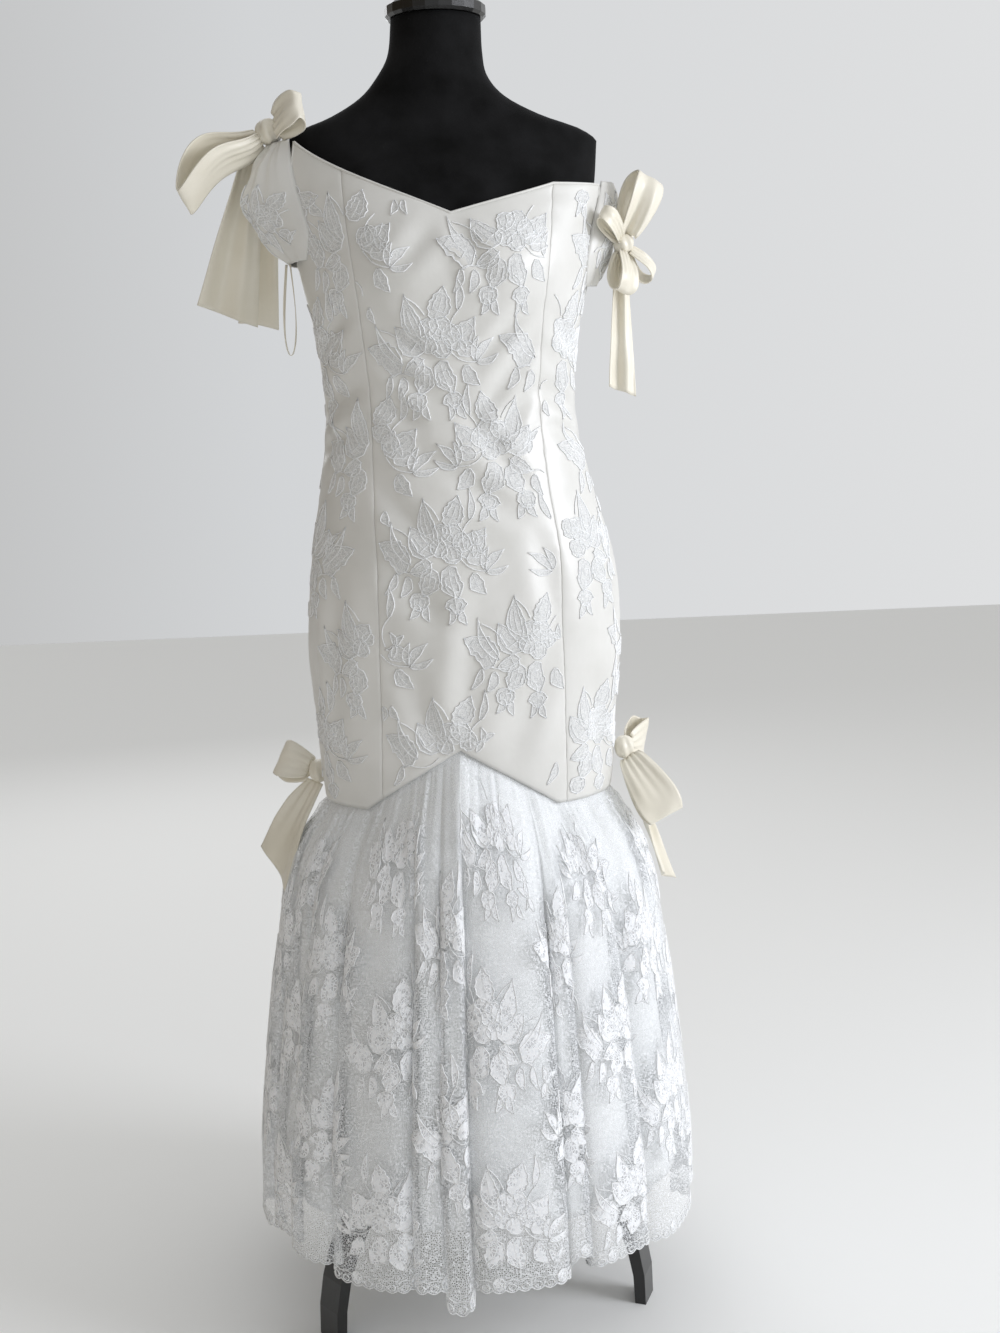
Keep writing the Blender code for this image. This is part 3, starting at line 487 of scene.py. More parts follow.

# %% [markdown]
# ## The dress form and its stand
# A dress form is a padded torso under a tight velvet cover, so it has no hard edge anywhere. It could be
# the imported solid with a subdivision modifier, but rings cut from the body table give a truer neck and
# shoulder. It is stuffed tight. The wooden pieces keep their solids, and a small bevel takes the hard
# edge off each one so that it catches the light.

# %% Neck rows and the velvet torso
NECK_ROWS = (
    BodyRow(1.346, 0.000, 0.156, 0.056, 0.068),
    BodyRow(1.360, -0.003, 0.118, 0.053, 0.064),
    BodyRow(1.380, -0.006, 0.081, 0.051, 0.060),
    BodyRow(1.402, -0.006, 0.061, 0.050, 0.056),
    BodyRow(1.425, -0.002, 0.052, 0.049, 0.053),
    BodyRow(1.462, 0.000, 0.049, 0.048, 0.050),
)
FORM_BOTTOM = 0.700
FORM_INSET = 0.0042
BUST_EASE = 0.0018
ARM_EASE = 0.0048
ARM_HEIGHT = 1.285
ARM_SPREAD = 0.060
FORM_SPOKES = 96


def form_ring(height):
    """One ring of the torso, a little inside the dress."""
    if height > 1.333:
        rows = (BodyRow(1.333, *body_row_inside(1.333)),) + NECK_ROWS
        row = smooth_row(rows, height)
        return [oval_point(row, 360.0 * k / FORM_SPOKES, height, 0.0) for k in range(FORM_SPOKES)]
    rounding = -0.016 * max(1.0 - (height - FORM_BOTTOM - 0.004) / 0.014, 0.0) ** 2
    ease = BUST_EASE * math.exp(-(((height - BUST_HEIGHT) / (1.4 * BUST_SPREAD)) ** 2))
    arm_ease = ARM_EASE * math.exp(-(((height - ARM_HEIGHT) / ARM_SPREAD) ** 2))
    ring = []
    for k in range(FORM_SPOKES):
        angle = 360.0 * k / FORM_SPOKES
        beside_arm = math.sin(math.radians(angle)) ** 8
        ring.append(body_point(angle, height, rounding - FORM_INSET - ease - arm_ease * beside_arm))
    return ring


def body_row_inside(height):
    row = smooth_row(BODY_ROWS, height)
    return row.centre, row.half_width - FORM_INSET, row.front - FORM_INSET, row.back - FORM_INSET


def closed_rings(name, rings, material):
    """A closed solid through rings of points, the lowest first, with flat ends."""
    spokes = len(rings[0])
    places = [place for ring in rings for place in ring]
    faces = []
    for level in range(len(rings) - 1):
        for k in range(spokes):
            n = (k + 1) % spokes
            a = level * spokes
            b = a + spokes
            faces.append((a + k, a + n, b + n, b + k))
    faces.append(tuple(reversed(range(spokes))))
    faces.append(tuple(range((len(rings) - 1) * spokes, len(rings) * spokes)))
    return add_mesh(name, places, faces, [material], None, [(p.x, p.z) for p in places])


form_heights = evenly(6, FORM_BOTTOM + 0.004, FORM_BOTTOM + 0.018) + evenly(70, FORM_BOTTOM + 0.024, 1.333)
form_heights += evenly(26, 1.337, 1.462)
torso = closed_rings("velvet_torso", [form_ring(height) for height in form_heights], velvet)
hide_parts("form_torso")
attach(torso, "root")
print("velvet torso rings", len(form_heights))


# %% Finish the wooden solids
def dress_node(name, material, bevel=0.0, rounding=0):
    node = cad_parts[name]
    for slot in node.material_slots:
        slot.material = material
    if rounding:
        smooth = node.modifiers.new("rounding", "SUBSURF")
        smooth.levels = smooth.render_levels = rounding
    if bevel:
        edge = node.modifiers.new("soft_edge", "BEVEL")
        edge.width = bevel
        edge.segments = 3
        edge.limit_method = "ANGLE"
        edge.angle_limit = math.radians(35.0)


for wooden in ("neck_cap", "base_hub", "leg_right", "leg_left", "leg_back", "pole"):
    dress_node(wooden, lacquer, 0.0012)

# %% [markdown]
# ## The sheath, panel by panel
# The sheath is seven panels joined by princess, side and back seams. Worn satin is never smooth: it
# drags from the bust to the waist, breaks into soft folds where the body bends, and puckers along each
# seam. Each crease is one row in a table: a line on the cloth with its own depth and width, set
# from how such a dress hangs, and with different ones on the sides and back.

# %% Creases
CreaseRow = namedtuple("CreaseRow", "angle_a height_a angle_b height_b depth width")
CREASE_ROWS = (
    CreaseRow(-6, 1.236, -22, 1.190, 0.0011, 0.008), CreaseRow(2, 1.232, 14, 1.176, 0.0010, 0.007),
    CreaseRow(-30, 1.130, -8, 1.092, 0.0013, 0.008), CreaseRow(-34, 1.098, -12, 1.066, 0.0012, 0.008),
    CreaseRow(30, 1.142, 10, 1.096, 0.0012, 0.007), CreaseRow(34, 1.106, 12, 1.044, 0.0014, 0.009),
    CreaseRow(33, 1.060, 16, 1.010, 0.0012, 0.008), CreaseRow(-33, 1.052, -16, 1.026, 0.0013, 0.009),
    CreaseRow(-30, 1.012, -4, 0.984, 0.0011, 0.010), CreaseRow(4, 1.040, 26, 0.962, 0.0011, 0.009),
    CreaseRow(-4, 0.970, 22, 0.930, 0.0010, 0.010), CreaseRow(-34, 0.958, -14, 0.906, 0.0012, 0.010),
    CreaseRow(-30, 0.880, -10, 0.816, 0.0011, 0.011), CreaseRow(2, 0.846, -4, 0.700, 0.0016, 0.010),
    CreaseRow(10, 0.860, 8, 0.700, 0.0012, 0.012), CreaseRow(24, 0.760, 14, 0.660, 0.0011, 0.011),
    CreaseRow(-24, 0.752, -12, 0.668, 0.0012, 0.010), CreaseRow(28, 0.900, 32, 0.800, 0.0010, 0.010),
    CreaseRow(48, 1.140, 70, 1.100, 0.0013, 0.009), CreaseRow(46, 1.060, 78, 1.036, 0.0015, 0.009),
    CreaseRow(50, 1.020, 84, 1.006, 0.0012, 0.008), CreaseRow(52, 0.740, 60, 0.630, 0.0011, 0.012),
    CreaseRow(-48, 1.150, -72, 1.110, 0.0012, 0.009), CreaseRow(-46, 1.070, -80, 1.048, 0.0015, 0.010),
    CreaseRow(-52, 1.022, -84, 1.000, 0.0013, 0.008), CreaseRow(-56, 0.860, -62, 0.700, 0.0012, 0.012),
    CreaseRow(-74, 0.800, -80, 0.640, 0.0010, 0.011), CreaseRow(74, 0.880, 80, 0.700, 0.0011, 0.012),
    CreaseRow(100, 1.100, 132, 1.060, 0.0013, 0.010), CreaseRow(104, 1.030, 136, 1.016, 0.0015, 0.009),
    CreaseRow(-100, 1.090, -134, 1.052, 0.0013, 0.010), CreaseRow(-108, 1.030, -130, 1.004, 0.0014, 0.009),
    CreaseRow(144, 1.060, 176, 1.034, 0.0014, 0.009), CreaseRow(-144, 1.050, -174, 1.022, 0.0014, 0.010),
    CreaseRow(146, 0.990, 172, 0.976, 0.0012, 0.009), CreaseRow(-148, 0.984, -176, 0.966, 0.0011, 0.009),
    CreaseRow(118, 0.820, 124, 0.650, 0.0012, 0.013), CreaseRow(-120, 0.800, -116, 0.640, 0.0012, 0.013),
    CreaseRow(158, 0.800, 162, 0.660, 0.0011, 0.012), CreaseRow(-160, 0.780, -156, 0.650, 0.0012, 0.012),
)
METRES_PER_DEGREE = 0.0026
DRAPE = 3.0
SOFTNESS = 1.35
DEEPEST = 0.0034
SEAM_DIP = 0.0008
SEAM_DIP_WIDTH = 0.0020
PUCKER_DEPTH = 0.0012
PUCKER_REACH = 0.010
TURN_IN = 0.0016
TURN_IN_REACH = 0.004


def crease_depth(angle, height):
    """How far the creases press the cloth in at a place: each is deepest in its middle and fades at its ends."""
    total = 0.0
    for row in CREASE_ROWS:
        along_x = (row.angle_b - row.angle_a) * METRES_PER_DEGREE
        along_z = row.height_b - row.height_a
        from_x = (angle - row.angle_a) * METRES_PER_DEGREE
        from_z = height - row.height_a
        squared = along_x * along_x + along_z * along_z
        share = (from_x * along_x + from_z * along_z) / squared
        if share < -0.3 or share > 1.3:
            continue
        away = (from_x * along_z - from_z * along_x) / math.sqrt(squared)
        width = row.width * SOFTNESS
        if abs(away) > 3.2 * width:
            continue
        fade = max(0.0, math.sin(math.pi * min(max((share + 0.3) / 1.6, 0.0), 1.0))) ** 1.5
        dip = math.exp(-((away / width) ** 2))
        ridge = math.exp(-(((abs(away) - 1.7 * width) / width) ** 2))
        total += row.depth * DRAPE * fade * (dip - 0.55 * ridge)
    return total


def worn_point(angle, height, seam_distance=1.0):
    """The sheath as worn: the body's form with creases, slow unevenness and the pull of the nearest seam."""
    slow = noise.noise(Vector((angle * 0.05, height * 16.0, 3.0))) * 0.0006
    out = slow - crease_depth(angle, height)
    if seam_distance < 0.03:
        pull = noise.noise(Vector((angle * 0.03, height * 95.0, 7.0)))
        out -= SEAM_DIP * math.exp(-seam_distance / SEAM_DIP_WIDTH)
        out -= PUCKER_DEPTH * math.exp(-seam_distance / PUCKER_REACH) * max(pull, -0.3)
    out = max(out, -DEEPEST)
    above_seam = height - flounce_seam_height(angle)
    out -= TURN_IN * math.exp(-max(above_seam, 0.0) / TURN_IN_REACH)
    return body_point(angle, height, out)


# %% Panels
PANELS = (
    ("front_centre", "princess_right", "princess_left"),
    ("side_front_left", "princess_left", "side_left"),
    ("side_back_left", "side_left", "back_princess_left"),
    ("back_left", "back_princess_left", "centre_back_left"),
    ("back_right", "centre_back_right", "back_princess_right"),
    ("side_back_right", "back_princess_right", "side_right"),
    ("side_front_right", "side_right", "princess_right"),
)
PANEL_THICKNESS = 0.0008
PANEL_ROWS = 140
COLUMN_WIDTH = 0.0042
HALF_SEAM = 0.01


def panel_place(start_seam, end_seam, across, down):
    """Angle, height and distance to the nearest seam for a place on a panel."""
    edge_angle = blend(seam_angle(start_seam, 1.28), seam_angle(end_seam, 1.28), across)
    foot_angle = blend(seam_angle(start_seam, 0.62), seam_angle(end_seam, 0.62), across)
    height = blend(straight_row(TOP_EDGE_ROWS, edge_angle), flounce_seam_height(foot_angle), down)
    start = seam_angle(start_seam, height) + HALF_SEAM
    end = seam_angle(end_seam, height) - HALF_SEAM
    angle = blend(start, end, across)
    return angle, height, min(angle - start, end - angle) * METRES_PER_DEGREE


def panel_columns(width):
    """Columns that crowd toward both seams, where the cloth turns in."""
    count = max(16, round(width / COLUMN_WIDTH))
    columns = evenly(count)
    return [0.0, 0.25 / count, 0.55 / count] + columns[1:-1] + [1 - 0.55 / count, 1 - 0.25 / count, 1.0]


panel_cuts = {}
for panel_name, start_seam, end_seam in PANELS:
    span = abs(seam_angle(end_seam, 0.9) - seam_angle(start_seam, 0.9)) * METRES_PER_DEGREE

    def panel_point(across, down, start_seam=start_seam, end_seam=end_seam):
        return worn_point(*panel_place(start_seam, end_seam, across, down))

    panel_grid = grid_of(panel_point, panel_columns(span), evenly(PANEL_ROWS))
    piece = cloth_shell("satin_" + panel_name, panel_grid, PANEL_THICKNESS, BODICE_SATIN)
    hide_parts(panel_name)
    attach(piece, "root")
    panel_cuts[panel_name] = cut_of(panel_grid)
    print(panel_name, "cut", [round(v, 3) for v in panel_cuts[panel_name]])

# %% [markdown]
# ## Drawing lace
# A lace designer draws a motif once, in millimetres, and repeats it in a half drop: every second
# column starts half a repeat lower. The motif here is an open flower with pointed leaves above, ferny
# sprays at its sides and small buds below. Each petal is one row of a table. A helper outlines it in
# cord and lays a slightly domed fill inside, on whatever surface it is given, so that the same drawing
# works on the smooth sheath and on the folded flounce.

# %% The motif tables, in millimetres
PetalRow = namedtuple("PetalRow", "x y turn length width pointed bend wave waves")
SPRAY = (
    PetalRow(-2, 0, 104, 56, 19, 1.5, 0.09, 0.8, 5), PetalRow(10, 24, 66, 36, 20, 1.2, -0.06, 1.8, 5),
    PetalRow(36, 31, 86, 34, 7, 1.2, -0.08, 0.0, 0), PetalRow(12, 8, 60, 21, 22, 0.60, 0.05, 1.6, 3),
    PetalRow(9, 10, 130, 19, 20, 0.60, -0.05, 1.6, 3), PetalRow(8, 5, 205, 18, 18, 0.60, 0.06, 1.4, 3),
    PetalRow(13, 3, 285, 19, 20, 0.60, -0.06, 1.6, 3), PetalRow(16, 8, 350, 20, 20, 0.60, 0.05, 1.6, 3),
    PetalRow(10, 3, 80, 14, 12, 0.55, 0.10, 0.9, 2), PetalRow(-4, -6, 134, 40, 24, 1.2, 0.12, 1.5, 4),
    PetalRow(-29, -17, 119, 52, 8, 1.4, 0.12, 0.0, 0), PetalRow(-35, -24, 138, 44, 22, 0.8, -0.14, 3.0, 6),
    PetalRow(-47, -27, 246, 26, 7, 0.55, 0.10, 0.0, 0), PetalRow(-8, -14, 208, 26, 16, 1.1, 0.10, 1.2, 3),
    PetalRow(-8, -20, 256, 32, 20, 0.8, 0.08, 1.8, 4), PetalRow(11, -18, 286, 36, 21, 0.9, -0.08, 1.9, 4),
    PetalRow(20, -5, 40, 42, 24, 1.2, -0.10, 1.9, 5), PetalRow(30, -10, 352, 24, 15, 1.2, 0.10, 1.2, 3),
    PetalRow(48, -22, 76, 25, 7, 1.4, 0.12, 0.0, 0), PetalRow(50, -23, 46, 31, 8, 1.4, 0.10, 0.0, 0),
    PetalRow(50, -25, 16, 25, 7, 1.4, -0.12, 0.0, 0), PetalRow(36, -26, 302, 27, 13, 1.2, -0.12, 1.2, 3),
    PetalRow(-19, -48, 262, 19, 17, 0.55, 0.0, 2.6, 3), PetalRow(-22, -60, 245, 18, 8, 1.1, 0.14, 0.0, 0),
    PetalRow(-13, -62, 284, 17, 8, 1.1, -0.14, 0.0, 0), PetalRow(17, -52, 280, 18, 16, 0.55, 0.0, 2.6, 3),
    PetalRow(15, -66, 258, 16, 7, 1.1, 0.14, 0.0, 0), PetalRow(24, -66, 292, 17, 7, 1.1, -0.14, 0.0, 0),
    PetalRow(-33, -30, 252, 24, 9, 1.1, 0.12, 1.0, 3),
)
SPRIG = (
    PetalRow(0, 0, 58, 15, 5.5, 0.9, 0.1, 0.0, 0), PetalRow(0, 0, 122, 16, 5.5, 0.9, -0.1, 0.0, 0),
    PetalRow(0, 0, 262, 14, 6.0, 0.7, 0.0, 0.0, 0), PetalRow(-2, 0, 214, 11, 3.0, 0.9, 0.2, 0.0, 0),
)
StemRow = namedtuple("StemRow", "x y end_x end_y bend")
SPRAY_STEMS = (
    StemRow(-6, -14, -34, -26, 5), StemRow(-34, -26, -47, -28, -2), StemRow(10, -40, 17, -54, 3),
    StemRow(-10, -40, -18, -50, -3), StemRow(22, -8, 50, -24, -5), StemRow(28, 0, 37, 32, 6),
    StemRow(-22, -2, -50, 22, -4), StemRow(2, 30, -14, 50, -2), StemRow(-14, -8, -30, 12, 4),
)


# %% Cord and fill
class LacePile:
    """Collects the cords, fills and beads of many motifs, to be made into one mesh at the end."""

    def __init__(self, cord_radius):
        self.cord_radius = cord_radius
        self.places = []
        self.faces = []
        self.slots = []
        self.uvs = []

    def add(self, places, faces, slot, uvs):
        start = len(self.places)
        self.places += places
        self.faces += [tuple(start + corner for corner in face) for face in faces]
        self.slots += [slot] * len(faces)
        self.uvs += uvs

    def cord(self, line, closed, share=1.0):
        """A soft three-sided cord along a line of (place, outward direction)."""
        places = []
        faces = []
        count = len(line)
        for spot, (place, out) in enumerate(line):
            radius = self.cord_radius * share * (1.0 + 0.16 * math.sin(2.4 * spot))
            before = line[spot - 1][0] if spot or closed else place
            after = line[(spot + 1) % count][0] if spot < count - 1 or closed else place
            side = (after - before).cross(out).normalized()
            places += [place + out * radius, place + side * radius - out * radius * 0.5,
                       place - side * radius - out * radius * 0.5]
        for spot in range(count if closed else count - 1):
            a = 3 * spot
            b = 3 * ((spot + 1) % count)
            for k in range(3):
                n = (k + 1) % 3
                faces.append((a + k, a + n, b + n, b + k))
        self.add(places, faces, 0, [(0.0, 0.0)] * len(places))

    def fill(self, left, middle, right, uvs):
        """The worked inside of a petal: two strips of faces between its edges, domed in the middle."""
        count = len(left)
        places = left + middle + right
        faces = []
        for k in range(count - 1):
            faces.append((k, count + k, count + k + 1, k + 1))
            faces.append((count + k, 2 * count + k, 2 * count + k + 1, count + k + 1))
        self.add(places, faces, 1, uvs)

    def bead(self, place, radius):
        """A small six-sided bead with a pole at each end."""
        places = [place + Vector((0, 0, radius)), place - Vector((0, 0, radius))]
        for level, share in ((0.5, 0.87), (-0.5, 0.87)):
            for k in range(6):
                turn = math.pi * (k / 3 + (0.17 if level > 0 else 0.0))
                places.append(place + Vector((math.cos(turn) * share, math.sin(turn) * share, level)) * radius)
        faces = []
        for k in range(6):
            n = (k + 1) % 6
            faces += [(0, 2 + k, 2 + n), (1, 8 + n, 8 + k), (2 + k, 8 + k, 8 + n, 2 + n)]
        self.add(places, faces, 2, [(0.0, 0.0)] * len(places))

    def finish(self, name, fill_material):
        made = add_mesh(name, self.places, self.faces, [CORD, fill_material, BEAD], self.slots, self.uvs)
        return made


PETAL_STEPS = 10
SATIN_CORD = 0.00078
NET_CORD = 0.00062
FILL_LIFT = 0.00030
FILL_DOME = 0.00035
VEIN_WIDTH = 12.0
SCROLL_WIDTH = 15.5
SCROLL_SHARE = 0.58
NARROW_PETAL = 5.2


def petal_edges(row):
    """The two edges and the middle of one petal, as points in millimetres."""
    turn = math.radians(row.turn)
    way = Vector((math.cos(turn), math.sin(turn)))
    side = Vector((-way.y, way.x))
    base = Vector((row.x, row.y))
    left = []
    right = []
    middle = []
    for share in evenly(PETAL_STEPS):
        rise = max(math.sin(math.pi * share ** 0.85), 0.0)
        swell = rise ** (row.pointed if share > 0.44 else 0.55)
        half = row.width * 0.5 * swell
        if row.waves:
            half += row.wave * abs(math.sin(math.pi * row.waves * share)) * min(swell * 1.5, 1.0)
        half *= 1.0 + 0.30 * noise.noise(Vector((row.x * 0.37, row.turn * 0.11, share * 3.0)))
        spine = base + way * row.length * share + side * row.bend * row.length * math.sin(math.pi * share)
        left.append(spine + side * half)
        right.append(spine - side * half)
        middle.append(spine)
    return left, middle, right


def lay_motif(pile, petals, stems, surface, inside, turn=0.0, size=1.0, flip=1.0, beads=False,
              scrolls=False, filled=True):
    """Lays a motif on a surface(x, y, lift) that takes millimetres; what isn't inside is cut away."""
    rotate = Matrix.Rotation(math.radians(turn), 2)

    def moved(point):
        return rotate @ Vector((point.x * flip, point.y)) * size

    laid = 0
    for row in petals:
        left, middle, right = ([moved(point) for point in line] for line in petal_edges(row))
        outline = left + list(reversed(right[1:-1]))
        if not all(inside(point) for point in outline):
            continue
        laid += 1
        pile.cord([surface(point, pile.cord_radius * 0.8) for point in outline], True)
        if row.waves and row.width > VEIN_WIDTH:
            pile.cord([surface(point, pile.cord_radius * 0.7) for point in middle[1:8]], False, 0.7)
        if scrolls and row.width > SCROLL_WIDTH:
            scroll = []
            for edge in (left, right):
                part = [spine.lerp(side, SCROLL_SHARE) for spine, side in zip(middle, edge)][3:9]
                scroll += part if edge is left else list(reversed(part))
            pile.cord([surface(point, pile.cord_radius * 0.7) for point in scroll], True, 0.75)
        if filled and row.width > NARROW_PETAL:
            lines = []
            for line, lift in ((left, FILL_LIFT), (middle, FILL_LIFT + FILL_DOME), (right, FILL_LIFT)):
                lines.append([surface(point, lift)[0] for point in line])
            if flip > 0:
                lines.reverse()
            uvs = [(point.x / 1000, point.y / 1000) for line in (left, middle, right) for point in line]
            pile.fill(*lines, uvs)
        if beads and row.wave > 1.2:
            pile.bead(surface(middle[-1], 0.0009)[0], 0.0009)
    for stem in stems:
        start = Vector((stem.x, stem.y))
        end = Vector((stem.end_x, stem.end_y))
        side = Vector((start.y - end.y, end.x - start.x)).normalized()
        line = [moved(start.lerp(end, k) + side * stem.bend * math.sin(math.pi * k)) for k in evenly(7)]
        if all(inside(point) for point in line):
            pile.cord([surface(point, pile.cord_radius * 0.8) for point in line], False)
    return laid


# %% [markdown]
# ## Lace on the sheath
# The lace layer is cut with the satin and sewn in one with it, so motifs stop at the seams. Columns of
# flowers stand 80 mm apart round the body and repeat every 216 mm, which is what the dress shows.

# %% Place the sprays on each panel
SPRAY_COLUMN = 0.080
SPRAY_REPEAT = 0.216
SPRAY_TOP = 1.328
FIRST_COLUMN = -0.030
WAIST_LEVEL = 0.95


def angle_at_length(length):
    """The angle at a length measured round the body from the centre front."""
    side = math.copysign(1.0, length)
    angle = 0.0
    run = 0.0
    place = body_point(0.0, WAIST_LEVEL)
    while run < abs(length) and angle < 180.0:
        angle += 0.5
        after = body_point(side * angle, WAIST_LEVEL)
        run += (after - place).length
        place = after
    return side * angle


spray_places = []
sprig_places = []
for column in range(-6, 7):
    column_angle = angle_at_length(FIRST_COLUMN + column * SPRAY_COLUMN)
    half_angle = angle_at_length(FIRST_COLUMN + column * SPRAY_COLUMN - 0.044)
    if abs(column_angle) >= 179.0:
        continue
    drop = SPRAY_REPEAT / 2 if column % 2 else 0.0
    for step in range(5):
        lean = 6.0 * math.sin(column * 2.1 + step * 1.7)
        flip = -1.0 if (column * 3 + step) % 4 == 0 else 1.0
        height = SPRAY_TOP - SPRAY_REPEAT * step - drop
        spray_places.append((column_angle, height, lean, flip))
        sprig_places.append((half_angle, height - SPRAY_REPEAT / 2 + 0.004, lean * 6.0, flip))


def sheath_surface(angle, height, start_seam, end_seam):
    """Functions that lay motif millimetres on a panel round one place, and tell what is inside it."""
    step = (body_point(angle + 1.0, height) - body_point(angle - 1.0, height)).length / 2

    def where(point):
        return angle + point.x / 1000 / step, height + point.y / 1000

    def surface(point, lift):
        here_angle, here_height = where(point)
        start = seam_angle(start_seam, here_height)
        end = seam_angle(end_seam, here_height)
        gap = min(here_angle - start, end - here_angle) * METRES_PER_DEGREE
        place = worn_point(here_angle, here_height, gap)
        aside = worn_point(here_angle + 0.6, here_height, gap) - place
        below = worn_point(here_angle, here_height - 0.002, gap) - place
        out = below.cross(aside).normalized()
        return place + out * lift, out

    def inside(point):
        here_angle, here_height = where(point)
        if not seam_angle(start_seam, here_height) + 0.5 < here_angle < seam_angle(end_seam, here_height) - 0.5:
            return False
        edge = straight_row(TOP_EDGE_ROWS, here_angle) - 0.002
        return flounce_seam_height(here_angle) + 0.003 < here_height < edge

    return surface, inside


for panel_name, start_seam, end_seam in PANELS:
    pile = LacePile(SATIN_CORD)
    low_angle = seam_angle(start_seam, 0.9) - 32
    high_angle = seam_angle(end_seam, 0.9) + 32
    for places, petals, stems in ((spray_places, SPRAY, SPRAY_STEMS), (sprig_places, SPRIG, ())):
        for angle, height, lean, flip in places:
            for lap in (-360.0, 0.0, 360.0):
                if low_angle < angle + lap < high_angle:
                    surface, inside = sheath_surface(angle + lap, height, start_seam, end_seam)
                    lay_motif(pile, petals, stems, surface, inside, lean, 1.0, flip, True, True)
    lace = pile.finish("lace_on_" + panel_name, FILL)
    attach(lace, "root")
    print(panel_name, "lace faces", len(lace.data.polygons))

for panel_name, (width, length, area) in panel_cuts.items():
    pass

# %% [markdown]
# ## The flounce
# The flounce is a straight length of lace, gathered onto the sheath by a running thread. Cloth that is
# gathered falls in folds that start as fine pleats and merge on the way down. Each row below is one
# fold: the tuck it starts at, how far its crest lifts and how much its hem drops. The crests lean over
# the tucks between them, as soft folds do, and the hem is cut in small scallops of 14 mm.

# %% The folds of the flounce
SPREAD_ROWS = (
    (0.00, 0.00), (0.03, 0.06), (0.07, 0.24), (0.13, 0.42), (0.22, 0.56), (0.36, 0.65), (0.53, 0.78),
    (0.69, 0.90), (0.85, 0.98), (1.00, 1.00),
)
LACE_HEM_HEIGHT = 0.116
LINING_HEM_HEIGHT = 0.172
SEAM_TUCK = 0.006
TUCKED_SHARE = 0.0155
HEM_OVAL = BodyRow(LACE_HEM_HEIGHT, 0.005, 0.250, 0.247, 0.250)
FoldRow = namedtuple("FoldRow", "start lift drop")
FOLD_ROWS = (
    FoldRow(-88, 0.018, 0.000), FoldRow(-72, 0.010, -0.012), FoldRow(-60, 0.022, -0.006),
    FoldRow(-44, 0.026, 0.004), FoldRow(-20, 0.018, 0.002), FoldRow(-12.5, 0.020, 0.026),
    FoldRow(-6, 0.026, 0.000), FoldRow(19, 0.006, -0.018), FoldRow(25, 0.022, -0.006),
    FoldRow(43.5, 0.028, 0.000), FoldRow(74, 0.016, -0.010), FoldRow(92, 0.020, 0.000),
    FoldRow(108, 0.014, -0.006), FoldRow(121, 0.026, 0.004), FoldRow(144, 0.012, -0.008),
    FoldRow(154, 0.024, 0.006), FoldRow(176, 0.014, -0.004), FoldRow(184, 0.026, 0.002),
    FoldRow(206, 0.015, -0.006), FoldRow(221, 0.024, 0.004), FoldRow(241, 0.010, -0.008),
    FoldRow(250, 0.022, 0.000),
)
GatherRow = namedtuple("GatherRow", "pitch height start reach")
GATHER_ROWS = (
    GatherRow(3.0, 0.0016, 0.0, 0.12), GatherRow(6.0, 0.0022, 1.0, 0.26), GatherRow(15.0, 0.0026, 2.4, 0.55),
)
LEAN_SHARE = 0.21
SHEATH_WALL = 0.0020
LACE_WALL = 0.0012
LAYER_GAP = 0.0010


def fold_at(angle):
    """The fold that an angle falls in, how far across it the angle lies, and its width in degrees."""
    first = FOLD_ROWS[0].start
    turned = (angle - first) % 360.0 + first
    for spot, row in enumerate(FOLD_ROWS):
        end = FOLD_ROWS[spot + 1].start if spot + 1 < len(FOLD_ROWS) else first + 360.0
        if turned < end:
            return row, (turned - row.start) / (end - row.start), end - row.start
    return FOLD_ROWS[-1], 1.0, first + 360.0 - FOLD_ROWS[-1].start


def flounce_point(angle, down, layer=0.0):
    """The flounce's outer face; layer 0 is the lace, and layer 1 the lining that follows it inside."""
    fold, across, width = fold_at(angle)
    top = flounce_seam_height(angle) + SEAM_TUCK
    height = blend(top, LACE_HEM_HEIGHT, down)
    spread = straight_row(SPREAD_ROWS, max(down - TUCKED_SHARE, 0.0) / (1.0 - TUCKED_SHARE))
    seam_oval = smooth_row(BODY_ROWS, top)
    values = [height] + [blend(a, b, spread) for a, b in zip(seam_oval[1:], HEM_OVAL[1:])]
    open_share = min(down / 0.45, 1.0)
    crest = max(math.sin(math.pi * across), 0.0) ** 0.8
    lift = fold.lift * (1.15 - 0.15 * layer) * (crest - 0.5) * open_share * (1.0 - 0.42 * layer)
    second = math.sin(3 * math.pi * across + fold.start) * math.sin(math.pi * across) ** 2
    lift += fold.lift * 0.12 * second * open_share * (1.0 - layer)
    leave = min(max(down - TUCKED_SHARE, 0.0) / TUCKED_SHARE, 1.0)
    warped = angle + 1.6 * math.sin(angle * 0.31) + 0.8 * math.sin(angle * 0.83 + 1.0)
    gather = 0.0
    for row in GATHER_ROWS:
        wave = math.cos(2 * math.pi * warped / row.pitch + row.start)
        gather += row.height * wave * max(1.0 - down / row.reach, 0.0)
    gather *= leave * (1.0 - layer)
    tucked_in = -(SHEATH_WALL + 1.4 * LAYER_GAP) * (1.0 - leave)
    lining_step = -layer * (LACE_WALL + 1.3 * LAYER_GAP + 0.0034 * leave + 0.0040 * open_share)
    lean = -math.sin(2 * math.pi * across) * LEAN_SHARE * min(width, 18.0) * open_share * (1.0 - 0.6 * layer)
    sway = math.sin(down * 7.0 + fold.start) * 0.25 * open_share
    point = oval_point(BodyRow(*values), angle + lean + sway, height, tucked_in + lift + gather + lining_step)
    point.z -= fold.drop * crest * down ** 3 * (1.0 - layer)
    return point


